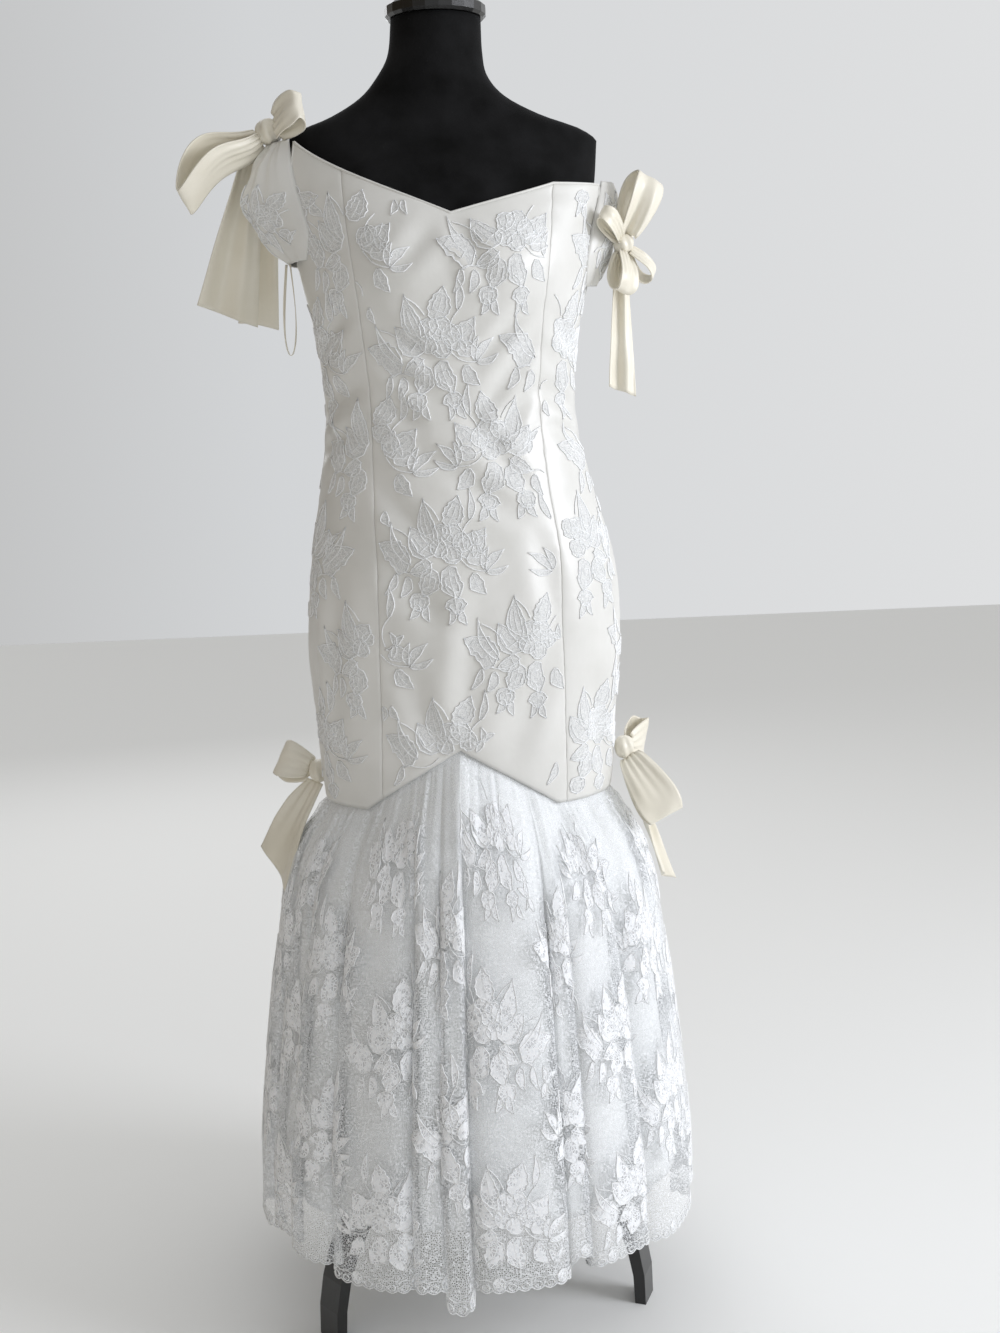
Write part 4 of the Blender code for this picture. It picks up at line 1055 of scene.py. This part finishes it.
# %% How the flat lace maps to the folds
FLOUNCE_LENGTH = 0.50
ARC_STEP = 0.25
arc_angles = [-88.0 + ARC_STEP * k for k in range(int(360 / ARC_STEP) + 1)]
arc_lengths = [0.0]
for a, b in zip(arc_angles, arc_angles[1:]):
    arc_lengths.append(arc_lengths[-1] + (flounce_point(b, 0.93) - flounce_point(a, 0.93)).length)
HEM_LENGTH = arc_lengths[-1]
SCALLOPS = round(HEM_LENGTH / 0.014)
print("flounce hem, flat", round(HEM_LENGTH, 3), "m, scallops", SCALLOPS)


def angle_of(length):
    """The angle at a length along the flat hem; lengths run on past the join."""
    laps, rest = divmod(length, HEM_LENGTH)
    low = 0
    high = len(arc_lengths) - 1
    while high - low > 1:
        middle = (low + high) // 2
        if arc_lengths[middle] <= rest:
            low = middle
        else:
            high = middle
    share = (rest - arc_lengths[low]) / max(arc_lengths[high] - arc_lengths[low], 1e-9)
    return arc_angles[low] + ARC_STEP * share + 360.0 * laps


def scallop_at(length):
    """How far the hem is cut up at a length along it, between the scallops' lowest points."""
    share = length / HEM_LENGTH * SCALLOPS % 1.0
    return 0.0034 * (1.0 - math.sin(math.pi * share))


def lace_place(length, drop):
    """A place on the lace, at a length along the hem and a drop from the top, both flat metres."""
    down = min(max(drop / FLOUNCE_LENGTH, 0.0), 1.0)
    point = flounce_point(angle_of(length), down)
    point.z += scallop_at(length) * max(0.0, (down - 0.97) / 0.03)
    return point


# %% Net and lining
COLUMNS_PER_SCALLOP = 5
LACE_LEVELS = [0.0, 0.008, 0.016, 0.024] + evenly(42, 0.034, 0.97) + [0.98, 0.99, 1.0]
LINING_REACH = (SEAM_SIDE_HEIGHT - LINING_HEM_HEIGHT) / (SEAM_SIDE_HEIGHT - LACE_HEM_HEIGHT)
LINING_THICKNESS = 0.0007
front_end = next(length for angle, length in zip(arc_angles, arc_lengths) if angle >= 92.0)
front_scallops = round(front_end / HEM_LENGTH * SCALLOPS)
scallop_length = HEM_LENGTH / SCALLOPS
halves = (("front", 0, front_scallops), ("back", front_scallops, SCALLOPS))
flounce_pieces = {}
for half, first, last in halves:
    lengths = [scallop_length * k / COLUMNS_PER_SCALLOP for k in
               range(first * COLUMNS_PER_SCALLOP, last * COLUMNS_PER_SCALLOP + 1)]
    lace_grid = [[lace_place(min(length, HEM_LENGTH - 1e-6), level * FLOUNCE_LENGTH) for length in lengths]
                 for level in LACE_LEVELS]
    lace_sheet = cloth_shell("net_flounce_" + half, lace_grid, 0.0, NET)
    flat_layer = lace_sheet.data.uv_layers["cloth_metres"].data
    flat = [(length, -level * FLOUNCE_LENGTH) for level in LACE_LEVELS for length in lengths]
    for loop in lace_sheet.data.loops:
        flat_layer[loop.index].uv = flat[loop.vertex_index]
    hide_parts("flounce_lace_" + half)
    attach(lace_sheet, "root")
    lining_lengths = lengths[:-1:3] + lengths[-1:]
    lining_grid = [[flounce_point(angle_of(min(length, HEM_LENGTH - 1e-6)), level, 1.0) for length in lining_lengths]
                   for level in [0.0, 0.016, 0.031] + evenly(30, 0.05, LINING_REACH)]
    lining = cloth_shell("lining_flounce_" + half, lining_grid, LINING_THICKNESS, LINING_SATIN)
    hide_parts("flounce_lining_" + half)
    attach(lining, "root")
    flounce_pieces[half] = (lace_sheet, cut_of(lace_grid), lining, cut_of(lining_grid), lengths)
    print(half, "lace", [round(v, 3) for v in cut_of(lace_grid)], "lining",
          [round(v, 3) for v in cut_of(lining_grid)], "faces", len(lace_sheet.data.polygons))

# %% [markdown]
# ## Motifs and border of the flounce
# The same drawing is laid on the flat lace and goes into the folds with it, so flowers narrow where
# the net is gathered and open where it spreads. Along the hem a border of small cells, each a half
# moon in cord under an arch of cord, follows the scallops, and a taller filled fan stands at every fifth one.

# %% Lay the flounce lace
FLOUNCE_SPRAYS = round(HEM_LENGTH / 0.118)
FLOUNCE_SPRAYS += FLOUNCE_SPRAYS % 2
BORDER_CELL = (PetalRow(0, 2.6, 90, 6.5, 8.0, 0.45, 0.0, 0.0, 0),)
BORDER_FAN = (PetalRow(0, 2.6, 90, 14.0, 11.0, 0.55, 0.0, 1.0, 3), PetalRow(0, 3.0, 90, 8.0, 5.6, 0.5, 0.0, 0.0, 0))
BORDER_LINE = 0.0115


def flat_surface(length, drop):
    """Lays motif millimetres on the flounce round one place of the flat lace."""
    def surface(point, lift):
        here = length + point.x / 1000
        fall = drop - point.y / 1000
        place = lace_place(here, fall)
        aside = lace_place(here + 0.0012, fall) - place
        below = lace_place(here, fall + 0.0015) - place
        if below.length < 1e-7:
            below = place - lace_place(here, fall - 0.0015)
        out = below.cross(aside).normalized()
        return place + out * lift, out
    return surface


flounce_lace = {}
for half, first, last in halves:
    start = first * scallop_length
    end = last * scallop_length
    pile = LacePile(NET_CORD)
    for column in range(FLOUNCE_SPRAYS):
        length = (column + 0.35) * HEM_LENGTH / FLOUNCE_SPRAYS
        low_drop = 0.425 if column % 2 else 0.335
        for step in range(3):
            drop = low_drop - 0.180 * step
            if drop < 0.0:
                continue
            surface = flat_surface(length, drop)

            def inside(point, length=length, drop=drop):
                here = length + point.x / 1000
                fall = drop - point.y / 1000
                return start + 0.001 < here < end - 0.001 and 0.018 < fall < FLOUNCE_LENGTH - 0.014

            lean = 12.0 * math.sin(column * 1.9 + step * 2.3)
            flip = -1.0 if (column + step) % 3 == 0 else 1.0
            lay_motif(pile, SPRAY, SPRAY_STEMS, surface, inside, lean, 0.98, flip)
            sprig_surface = flat_surface(length + 0.056, drop + 0.05)

            def sprig_inside(point, length=length + 0.056, drop=drop + 0.05):
                here = length + point.x / 1000
                return start < here < end and 0.02 < drop - point.y / 1000 < FLOUNCE_LENGTH - 0.02

            lay_motif(pile, SPRIG, (), sprig_surface, sprig_inside, lean * 3, 1.1, flip)
    for scallop in range(first, last):
        middle = (scallop + 0.5) * scallop_length
        surface = flat_surface(middle, FLOUNCE_LENGTH)
        fan = scallop % 5 == 0
        lay_motif(pile, BORDER_FAN if fan else BORDER_CELL, (), surface, lambda point: True, filled=fan)
    for drop, arch in ((FLOUNCE_LENGTH - 0.0004, 0.0), (FLOUNCE_LENGTH - BORDER_LINE, 0.0022)):
        line = []
        steps = (last - first) * 6
        for k in range(steps + 1):
            length = min(blend(start, end, k / steps), HEM_LENGTH - 1e-5)
            rise = arch * math.sin(math.pi * (length / scallop_length % 1.0))
            line.append(flat_surface(length, drop - rise)(Vector((0.0, 0.0)), 0.0004))
        pile.cord(line, False, 1.2 if arch == 0.0 else 0.9)
    lace = pile.finish("lace_on_flounce_" + half, NET_FILL)
    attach(lace, "root")
    sheet, lace_cut, lining, lining_cut, lengths = flounce_pieces[half]
    print(half, "flounce lace faces", len(lace.data.polygons))

# %% [markdown]
# ## Sleeves
# Each sleeve is a short puff of lace over satin, gathered at its top under the bow and caught again
# at its lower edge. The ripples fan out from the gathered end and crumple where the arm would bend.

# %% Sleeve shapes
SleeveRow = namedtuple("SleeveRow", "down front_angle front_height back_angle back_height puff")
RIGHT_SLEEVE_ROWS = (
    SleeveRow(0.00, -71.0, 1.336, -112.0, 1.332, 0.022),
    SleeveRow(0.22, -68.0, 1.308, -113.0, 1.300, 0.047),
    SleeveRow(0.50, -63.0, 1.270, -116.0, 1.262, 0.060),
    SleeveRow(0.78, -61.0, 1.234, -114.0, 1.228, 0.046),
    SleeveRow(1.00, -68.0, 1.207, -106.0, 1.204, 0.018),
)
LEFT_SLEEVE_ROWS = (
    SleeveRow(0.00, 77.0, 1.288, 112.0, 1.290, 0.018),
    SleeveRow(0.22, 74.0, 1.268, 113.0, 1.270, 0.030),
    SleeveRow(0.50, 70.0, 1.236, 116.0, 1.238, 0.036),
    SleeveRow(0.78, 70.0, 1.202, 113.0, 1.202, 0.028),
    SleeveRow(1.00, 76.0, 1.174, 105.0, 1.178, 0.014),
)


def sleeve_point(rows, across, down, crumple=1.0):
    row = smooth_row(rows, down)
    lifted = 0.0005
    front = body_point(row.front_angle, row.front_height, lifted)
    back = body_point(row.back_angle, row.back_height, lifted)
    side = math.copysign(1.0, row.front_angle)
    swell = max(math.sin(math.pi * across), 0.0)
    ripple = math.sin(2 * math.pi * 5 * across) * 0.0028 * swell * (1.0 - 0.5 * down)
    fan = across * 10.5 + 0.9 * math.sin(2.2 * down + 6.0 * across)
    ripple += crumple * math.sin(2 * math.pi * fan) * 0.0020 * swell * (1.0 - 0.75 * down)
    ripple += crumple * noise.noise(Vector((across * 6.0, down * 5.0, rows[0].puff * 900))) * 0.0052 * swell
    point = front.lerp(back, across)
    point.x += side * (row.puff * swell ** 0.7 + ripple)
    return point


for sleeve_name, rows, forward in (("right", RIGHT_SLEEVE_ROWS, True), ("left", LEFT_SLEEVE_ROWS, False)):
    def sleeve_surface(across, down, rows=rows, forward=forward):
        return sleeve_point(rows, 1.0 - across if forward else across, down)

    sleeve_grid = grid_of(sleeve_surface, evenly(72), evenly(44))
    sleeve = cloth_shell("satin_sleeve_" + sleeve_name, sleeve_grid, 0.0009, BODICE_SATIN)
    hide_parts("sleeve_" + sleeve_name)
    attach(sleeve, "root")
    wide = cut_of(sleeve_grid)
    pile = LacePile(SATIN_CORD)
    for middle_across, middle_down, lean in ((0.26, 0.44, 20.0), (0.72, 0.62, -30.0)):
        def surface(point, lift, middle_across=middle_across, middle_down=middle_down, wide=wide):
            here = middle_across + point.x / 1000 / wide[0]
            fall = middle_down - point.y / 1000 / wide[1]
            place = sleeve_surface(here, fall)
            aside = sleeve_surface(here + 0.01, fall) - place
            below = sleeve_surface(here, fall + 0.01) - place
            out = below.cross(aside).normalized()
            return place + out * lift, out

        def inside(point, middle_across=middle_across, middle_down=middle_down, wide=wide):
            here = middle_across + point.x / 1000 / wide[0]
            return 0.03 < here < 0.97 and 0.04 < middle_down - point.y / 1000 / wide[1] < 0.96

        lay_motif(pile, SPRAY, SPRAY_STEMS, surface, inside, lean, 0.8)
    lace = pile.finish("lace_on_sleeve_" + sleeve_name, FILL)
    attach(lace, "root")
    print("sleeve", sleeve_name, [round(v, 3) for v in wide])

# %% [markdown]
# ## Satin bows
# A bow is a strip of doubled satin: it leaves the knot in tight gathers, opens to its full width and
# turns back on itself in a soft loop. Loops and tails are the same two surfaces that made the solids,
# on a finer grid and with extra folds that die out toward the loop's round end. Each knot is a wrapped
# band with its own pleats.

# %% Loop, tail and knot shapes
LoopRow = namedtuple("LoopRow", "name tip wide_way width puff gathered folds arch")
TailRow = namedtuple("TailRow", "name way shift end wide_way top_width bottom_width folds ripple slant sway")
BowRow = namedtuple("BowRow", "name middle sizes loops tails")
LOOP_START = 0.06
ARCH_PEAK = 4.0 / 27.0
SEAM_GAP = 0.0004
BOW_THICKNESS = 0.0013
ROUND_END = 0.30


def knot_reach(sizes, way):
    return math.sqrt(sum((size * part) ** 2 for size, part in zip(sizes, way)))


def loop_grid(root, tip, row, steps=64, rows=22):
    """A loop of ribbon that leaves its root, opens by the puff and turns back at the tip."""
    reach = tip - root
    along = reach.normalized()
    wide_way = Vector(row.wide_way)
    wide = (wide_way - along * wide_way.dot(along)).normalized()
    side = wide.cross(along)
    start_swell = math.sin(math.pi * LOOP_START)

    def point(across, down):
        turn = math.pi * blend(LOOP_START, 1.0 - LOOP_START, across)
        share = (math.sin(turn) - start_swell) / (1.0 - start_swell)
        breadth = row.width * blend(row.gathered, 1.0, max(share, 0.0) ** 0.6) * (1.0 - ROUND_END * share ** 6)
        gathers = row.folds * math.cos(3 * math.pi * down) * (1.0 - 0.6 * share)
        gathers += 0.0013 * math.sin(9 * math.pi * down + 2.0 * turn) * max(1.0 - 1.2 * share, 0.0)
        gathers += 0.0034 * noise.noise(Vector((turn * 1.6, down * 2.2, row.width * 500))) * min(row.width / 0.05, 1.0)
        place = root + along * reach.length * share + wide * (down - 0.5) * breadth
        place += side * (row.puff * 0.5 * math.sin(2.0 * turn) + gathers)
        place.z += row.arch * share ** 2 * (1.0 - share) / ARCH_PEAK
        return place

    return grid_of(point, evenly(steps), evenly(rows))


def tail_grid(top, bottom, row, columns=40, rows=44):
    """A flat end of the bow that hangs in soft folds from its gathered top to a slanted cut edge."""
    down_way = (bottom - top).normalized()
    wide_way = Vector(row.wide_way)
    wide = (wide_way - down_way * wide_way.dot(down_way)).normalized()
    outward = down_way.cross(wide)

    def point(across, down):
        breadth = blend(row.top_width, row.bottom_width, max(down, 0.0) ** 0.8)
        ripple = row.ripple * math.cos(2 * math.pi * row.folds * across) * min(down * 3.0, 1.0)
        ripple += 0.0022 * math.sin(7 * math.pi * across + 2.5 * down) * (1.0 - down) ** 1.5 * min(down * 6.0, 1.0)
        ripple += 0.0044 * noise.noise(Vector((across * 2.4, down * 3.2, row.bottom_width * 300))) * down
        place = top.lerp(bottom, down) + wide * (across - 0.5) * breadth
        place += outward * (ripple + row.sway * math.sin(math.pi * down))
        return place + down_way * row.slant * (across - 0.5) * down

    return grid_of(point, evenly(columns), evenly(rows))


def wrapped_knot(name, middle, sizes):
    """A closed oval wrapped in soft pleats."""
    rings = 22
    spokes = 40
    places = [middle + Vector((0, 0, sizes[2]))]
    for ring in range(1, rings):
        tilt = math.pi * ring / rings
        for spoke in range(spokes):
            turn = 2 * math.pi * spoke / spokes
            pleat = 0.95 + 0.09 * math.sin(6 * turn + 2.2 * math.cos(tilt))
            flat = math.sin(tilt) ** 0.8 * pleat
            spot = Vector((sizes[0] * flat * math.cos(turn), sizes[1] * flat * math.sin(turn),
                           sizes[2] * math.cos(tilt) * (0.96 + 0.03 * math.sin(3 * turn))))
            places.append(middle + spot)
    places.append(middle - Vector((0, 0, sizes[2])))
    faces = []
    last = len(places) - 1
    for spoke in range(spokes):
        after = (spoke + 1) % spokes
        faces.append((0, 1 + spoke, 1 + after))
        faces.append((last, last - spokes + after, last - spokes + spoke))
        for ring in range(rings - 2):
            a = 1 + ring * spokes
            b = a + spokes
            faces.append((a + spoke, b + spoke, b + after, a + after))
    return add_mesh(name, places, faces, [BOW_SATIN], None, [(p.x, p.z) for p in places])


# %% The four bows
def knot_middle(node):
    low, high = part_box(node)
    return Vector([(a + b) / 2 for a, b in zip(low, high)])


BOWS = (
    BowRow("right_shoulder", knot_middle("right_shoulder_knot"), (0.015, 0.018, 0.014), (
        LoopRow("loop_inner", (0.036, -0.042, 0.020), (0.0, 0.3, 1.0), 0.044, 0.020, 0.80, 0.001, 0.0),
        LoopRow("loop_outer", (-0.094, -0.022, -0.076), (0.40, 0.85, -0.40), 0.054, 0.026, 0.44, 0.0010, 0.022),
    ), (
        TailRow("tail_outer", (-0.25, 1.0, 0.0), -0.0115, (-0.057, 0.038, -0.194), (1.0, 0.25, 0.0), 0.012,
                0.074, 1.5, 0.0070, 0.014, 0.0),
        TailRow("tail_inner", (-0.25, 1.0, 0.0), 0.0085, (-0.026, 0.088, -0.202), (1.0, 0.25, 0.0), 0.011,
                0.048, 1.0, 0.0040, 0.006, -0.010),
    )),
    BowRow("left_shoulder", knot_middle("left_shoulder_knot"), (0.012, 0.012, 0.011), (
        LoopRow("loop_up", (0.030, 0.006, 0.073), (1.0, 0.35, 0.0), 0.046, 0.031, 0.50, 0.0040, 0.0),
        LoopRow("loop_front", (-0.028, -0.036, 0.031), (0.75, 0.7, 0.2), 0.024, 0.018, 0.60, 0.0006, 0.0),
        LoopRow("loop_down", (-0.004, -0.016, -0.054), (0.75, 0.7, 0.0), 0.034, 0.022, 0.50, 0.0008, 0.0),
        LoopRow("loop_side", (0.033, 0.008, -0.038), (0.5, 0.8, 0.2), 0.028, 0.020, 0.55, 0.0008, 0.0),
    ), (
        TailRow("tail", (-0.10, 1.0, -0.05), 0.0, (-0.002, 0.010, -0.162), (1.0, 0.10, 0.0), 0.014, 0.033, 1.5,
                0.0035, 0.012, 0.0),
    )),
    BowRow("right_hip", knot_middle("right_hip_knot"), (0.012, 0.016, 0.014), (
        LoopRow("loop", (-0.046, 0.024, 0.012), (0.15, 0.50, 1.0), 0.052, 0.028, 0.50, 0.0012, 0.0),
    ), (
        TailRow("tail", (-0.50, -0.30, -1.10), 0.0, (-0.056, -0.028, -0.110), (0.70, -0.70, 0.0), 0.026, 0.070, 1.0,
                0.0035, 0.036, 0.006),
    )),
    BowRow("left_hip", knot_middle("left_hip_knot"), (0.012, 0.014, 0.014), (
        LoopRow("loop_back", (0.030, 0.052, 0.004), (0.10, 0.0, 1.0), 0.056, 0.021, 0.45, 0.001, 0.0),
        LoopRow("loop_front", (0.040, -0.047, -0.074), (1.0, -0.15, 0.10), 0.060, 0.026, 0.38, 0.0, 0.0),
    ), (
        TailRow("tail", (0.40, 0.55, -1.65), 0.0, (0.056, 0.040, -0.170), (0.5, 0.85, 0.0), 0.012, 0.030, 1.0,
                0.0035, 0.030, 0.0),
    )),
)


def satin_piece(name, grid, node):
    piece = cloth_shell(name, grid, BOW_THICKNESS, BOW_SATIN)
    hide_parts(node)
    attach(piece, "root")
    width, length, area = cut_of(grid)
    print(name, "cut", round(width, 3), "by", round(length, 3))


for bow in BOWS:
    knot_name = "satin_" + bow.name + "_knot"
    knot = wrapped_knot(knot_name, bow.middle, bow.sizes)
    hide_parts(bow.name + "_knot")
    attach(knot, "root")
    for row in bow.loops:
        way = Vector(row.tip).normalized()
        root = bow.middle + way * (knot_reach(bow.sizes, way) - 0.0010)
        grid = loop_grid(root, bow.middle + Vector(row.tip), row)
        satin_piece("satin_" + bow.name + "_" + row.name, grid, bow.name + "_" + row.name)
    for row in bow.tails:
        way = Vector(row.way).normalized()
        top = bow.middle + way * (knot_reach(bow.sizes, way) - 0.0010) + Vector(row.wide_way).normalized() * row.shift
        grid = tail_grid(top, bow.middle + Vector(row.end), row)
        satin_piece("satin_" + bow.name + "_" + row.name, grid, bow.name + "_" + row.name)

# %% [markdown]
# ## Small trimmings
# The top edge is bound with a narrow satin piping, the closed back is held by satin-covered buttons in
# cord loops, and the hanger ribbon has slipped out under one arm. The buttons keep their solids, rounded
# by a subdivision modifier as cloth drawn over a mould would be.

# %% Piping, buttons and hanger ribbon
PIPING_RADIUS = 0.0013


def tube(name, line, radius, sides, material, closed=False):
    """A round tube along a line of points, on frames that turn as little as they can."""
    places = []
    count = len(line)
    side = None
    for spot, place in enumerate(line):
        before = line[spot - 1] if spot or closed else place
        after = line[(spot + 1) % count] if spot < count - 1 or closed else place
        along = (after - before).normalized()
        side = (side or Vector((0.0, 0.0, 1.0)).cross(along))
        side = (side - along * side.dot(along)).normalized()
        other = along.cross(side)
        for k in range(sides):
            turn = 2 * math.pi * k / sides
            places.append(place + (side * math.cos(turn) + other * math.sin(turn)) * radius)
    faces = []
    for spot in range(count if closed else count - 1):
        for k in range(sides):
            n = (k + 1) % sides
            a = spot * sides
            b = (spot + 1) % count * sides
            faces.append((a + k, a + n, b + n, b + k))
    if not closed:
        faces += [tuple(reversed(range(sides))), tuple(range((count - 1) * sides, count * sides))]
    return add_mesh(name, places, faces, [material], None, [(p.x, p.z) for p in places])


edge_line = []
for k in range(720):
    edge_angle = -180.0 + 0.5 * k
    edge_line.append(body_point(edge_angle, straight_row(TOP_EDGE_ROWS, edge_angle) - 0.0006, -0.0003))
piping = tube("satin_neck_piping", edge_line, PIPING_RADIUS, 8, BODICE_SATIN, True)
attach(piping, "root")

for number in range(1, 8):
    name = "button_{:02d}".format(number)
    dress_node(name, BOW_SATIN, 0.0, 2)
    low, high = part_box(name)
    centre = Vector([(a + b) / 2 for a, b in zip(low, high)])
    loop_line = []
    for k in range(13):
        turn = math.pi * (k / 12) - math.pi / 2
        loop_line.append(centre + Vector((-0.0064 * math.cos(turn) - 0.001, -0.0012, 0.0066 * math.sin(turn))))
    loop = tube("button_loop_{:02d}".format(number), loop_line, 0.0006, 6, CORD)
    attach(loop, "root")

ribbon_row = LoopRow("hanger", (-0.002, 0.0, -0.098), (0.3, 1.0, 0.0), 0.0042, 0.014, 1.0, 0.0, 0.0)
ribbon_root = sleeve_point(RIGHT_SLEEVE_ROWS, 0.42, 1.0, 0.0) + Vector((0.0, 0.0, -SEAM_GAP))
ribbon_grid = loop_grid(ribbon_root, ribbon_root + Vector(ribbon_row.tip), ribbon_row, 90, 4)
ribbon = cloth_shell("satin_hanger_ribbon", ribbon_grid, 0.0006, BOW_SATIN)
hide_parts("hanger_ribbon")
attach(ribbon, "root")
ribbon_cut = cut_of(ribbon_grid)

# %% [markdown]
# ## Floor, light and camera
# The dress is shown against a clean pale ground. One large cool light stands to the right and in
# front, as a window would, a weak warm one fills the shaded side, and the sky is a soft even white.

# %% Floor and light
floor_mesh = bpy.data.meshes.new("floor")
floor_points = [(-6, -6, 0), (6, -6, 0), (6, 6, 0), (-6, 6, 0)]
floor_mesh.from_pydata(floor_points, [], [(0, 1, 2, 3)])
floor = bpy.data.objects.new("floor", floor_mesh)
bpy.context.scene.collection.objects.link(floor)
floor_material, floor_tree, floor_shader = new_material("pale_floor", "F4F4F2", 0.8)
floor_mesh.materials.append(floor_material)

world = bpy.data.worlds.new("soft_studio")
bpy.context.scene.world = world
world.use_nodes = True
world_tree = world.node_tree
direction = add_node(world_tree, "ShaderNodeTexCoord").outputs["Generated"]
from_right = add_node(world_tree, "ShaderNodeSeparateXYZ", (), [(0, direction)]).outputs["X"]
side_share = add_node(world_tree, "ShaderNodeMapRange", [("From Min", -0.9), ("From Max", 0.9)],
                      [("Value", from_right)]).outputs[0]
sky = add_node(world_tree, "ShaderNodeValToRGB", (), [(0, side_share)])
sky.color_ramp.elements[0].color = linear("6F6350")
sky.color_ramp.elements[1].color = linear("FFFFFF")
middle_sky = sky.color_ramp.elements.new(0.48)
middle_sky.color = linear("E2E4E6")
world_tree.links.new(world_tree.nodes["Background"].inputs["Color"], sky.outputs["Color"])
world_tree.nodes["Background"].inputs["Strength"].default_value = 0.85
bpy.context.scene.view_settings.view_transform = "Standard"


def area_light(name, place, aim, size, power, colour):
    data = bpy.data.lights.new(name, "AREA")
    data.shape = "SQUARE"
    data.size = size
    data.energy = power
    data.color = linear(colour)[:3]
    lamp = bpy.data.objects.new(name, data)
    lamp.location = place
    lamp.rotation_mode = "QUATERNION"
    lamp.rotation_quaternion = (Vector(aim) - Vector(place)).to_track_quat("-Z", "Y")
    bpy.context.scene.collection.objects.link(lamp)


area_light("window_light", (2.5, -1.2, 1.6), (0.0, 0.0, 0.8), 1.1, 44.0, "F4F7FF")
area_light("warm_fill", (-2.2, -1.0, 1.0), (0.0, 0.0, 0.9), 1.6, 1.5, "FFE6C8")
area_light("back_fill", (-0.6, 2.7, 1.9), (0.0, 0.0, 0.8), 1.6, 12.0, "F6F7FA")

# %% Camera at the photograph's angle
CAMERA_AZIMUTH = math.radians(-5.5)
CAMERA_DISTANCE = 1.85
CAMERA_HEIGHT = 1.042
CAMERA_SIDE = 0.05
CAMERA_TILT = math.radians(9.0)
CAMERA_ROLL = math.radians(-1.64)
back_way = Vector((math.sin(CAMERA_AZIMUTH), -math.cos(CAMERA_AZIMUTH), 0.0))
right_way = Vector((math.cos(CAMERA_AZIMUTH), math.sin(CAMERA_AZIMUTH), 0.0))
camera_data = bpy.data.cameras.new("camera")
camera_data.lens = 43.75
camera_data.sensor_width = 36.0
camera = bpy.data.objects.new("camera", camera_data)
camera.location = AXIS + back_way * CAMERA_DISTANCE + right_way * CAMERA_SIDE + Vector((0.0, 0.0, CAMERA_HEIGHT))
look = -back_way * math.cos(CAMERA_TILT) - Vector((0.0, 0.0, math.sin(CAMERA_TILT)))
camera.rotation_mode = "QUATERNION"
camera.rotation_quaternion = look.to_track_quat("-Z", "Y") @ Quaternion((0.0, 0.0, 1.0), CAMERA_ROLL)
bpy.context.scene.collection.objects.link(camera)
bpy.context.scene.camera = camera
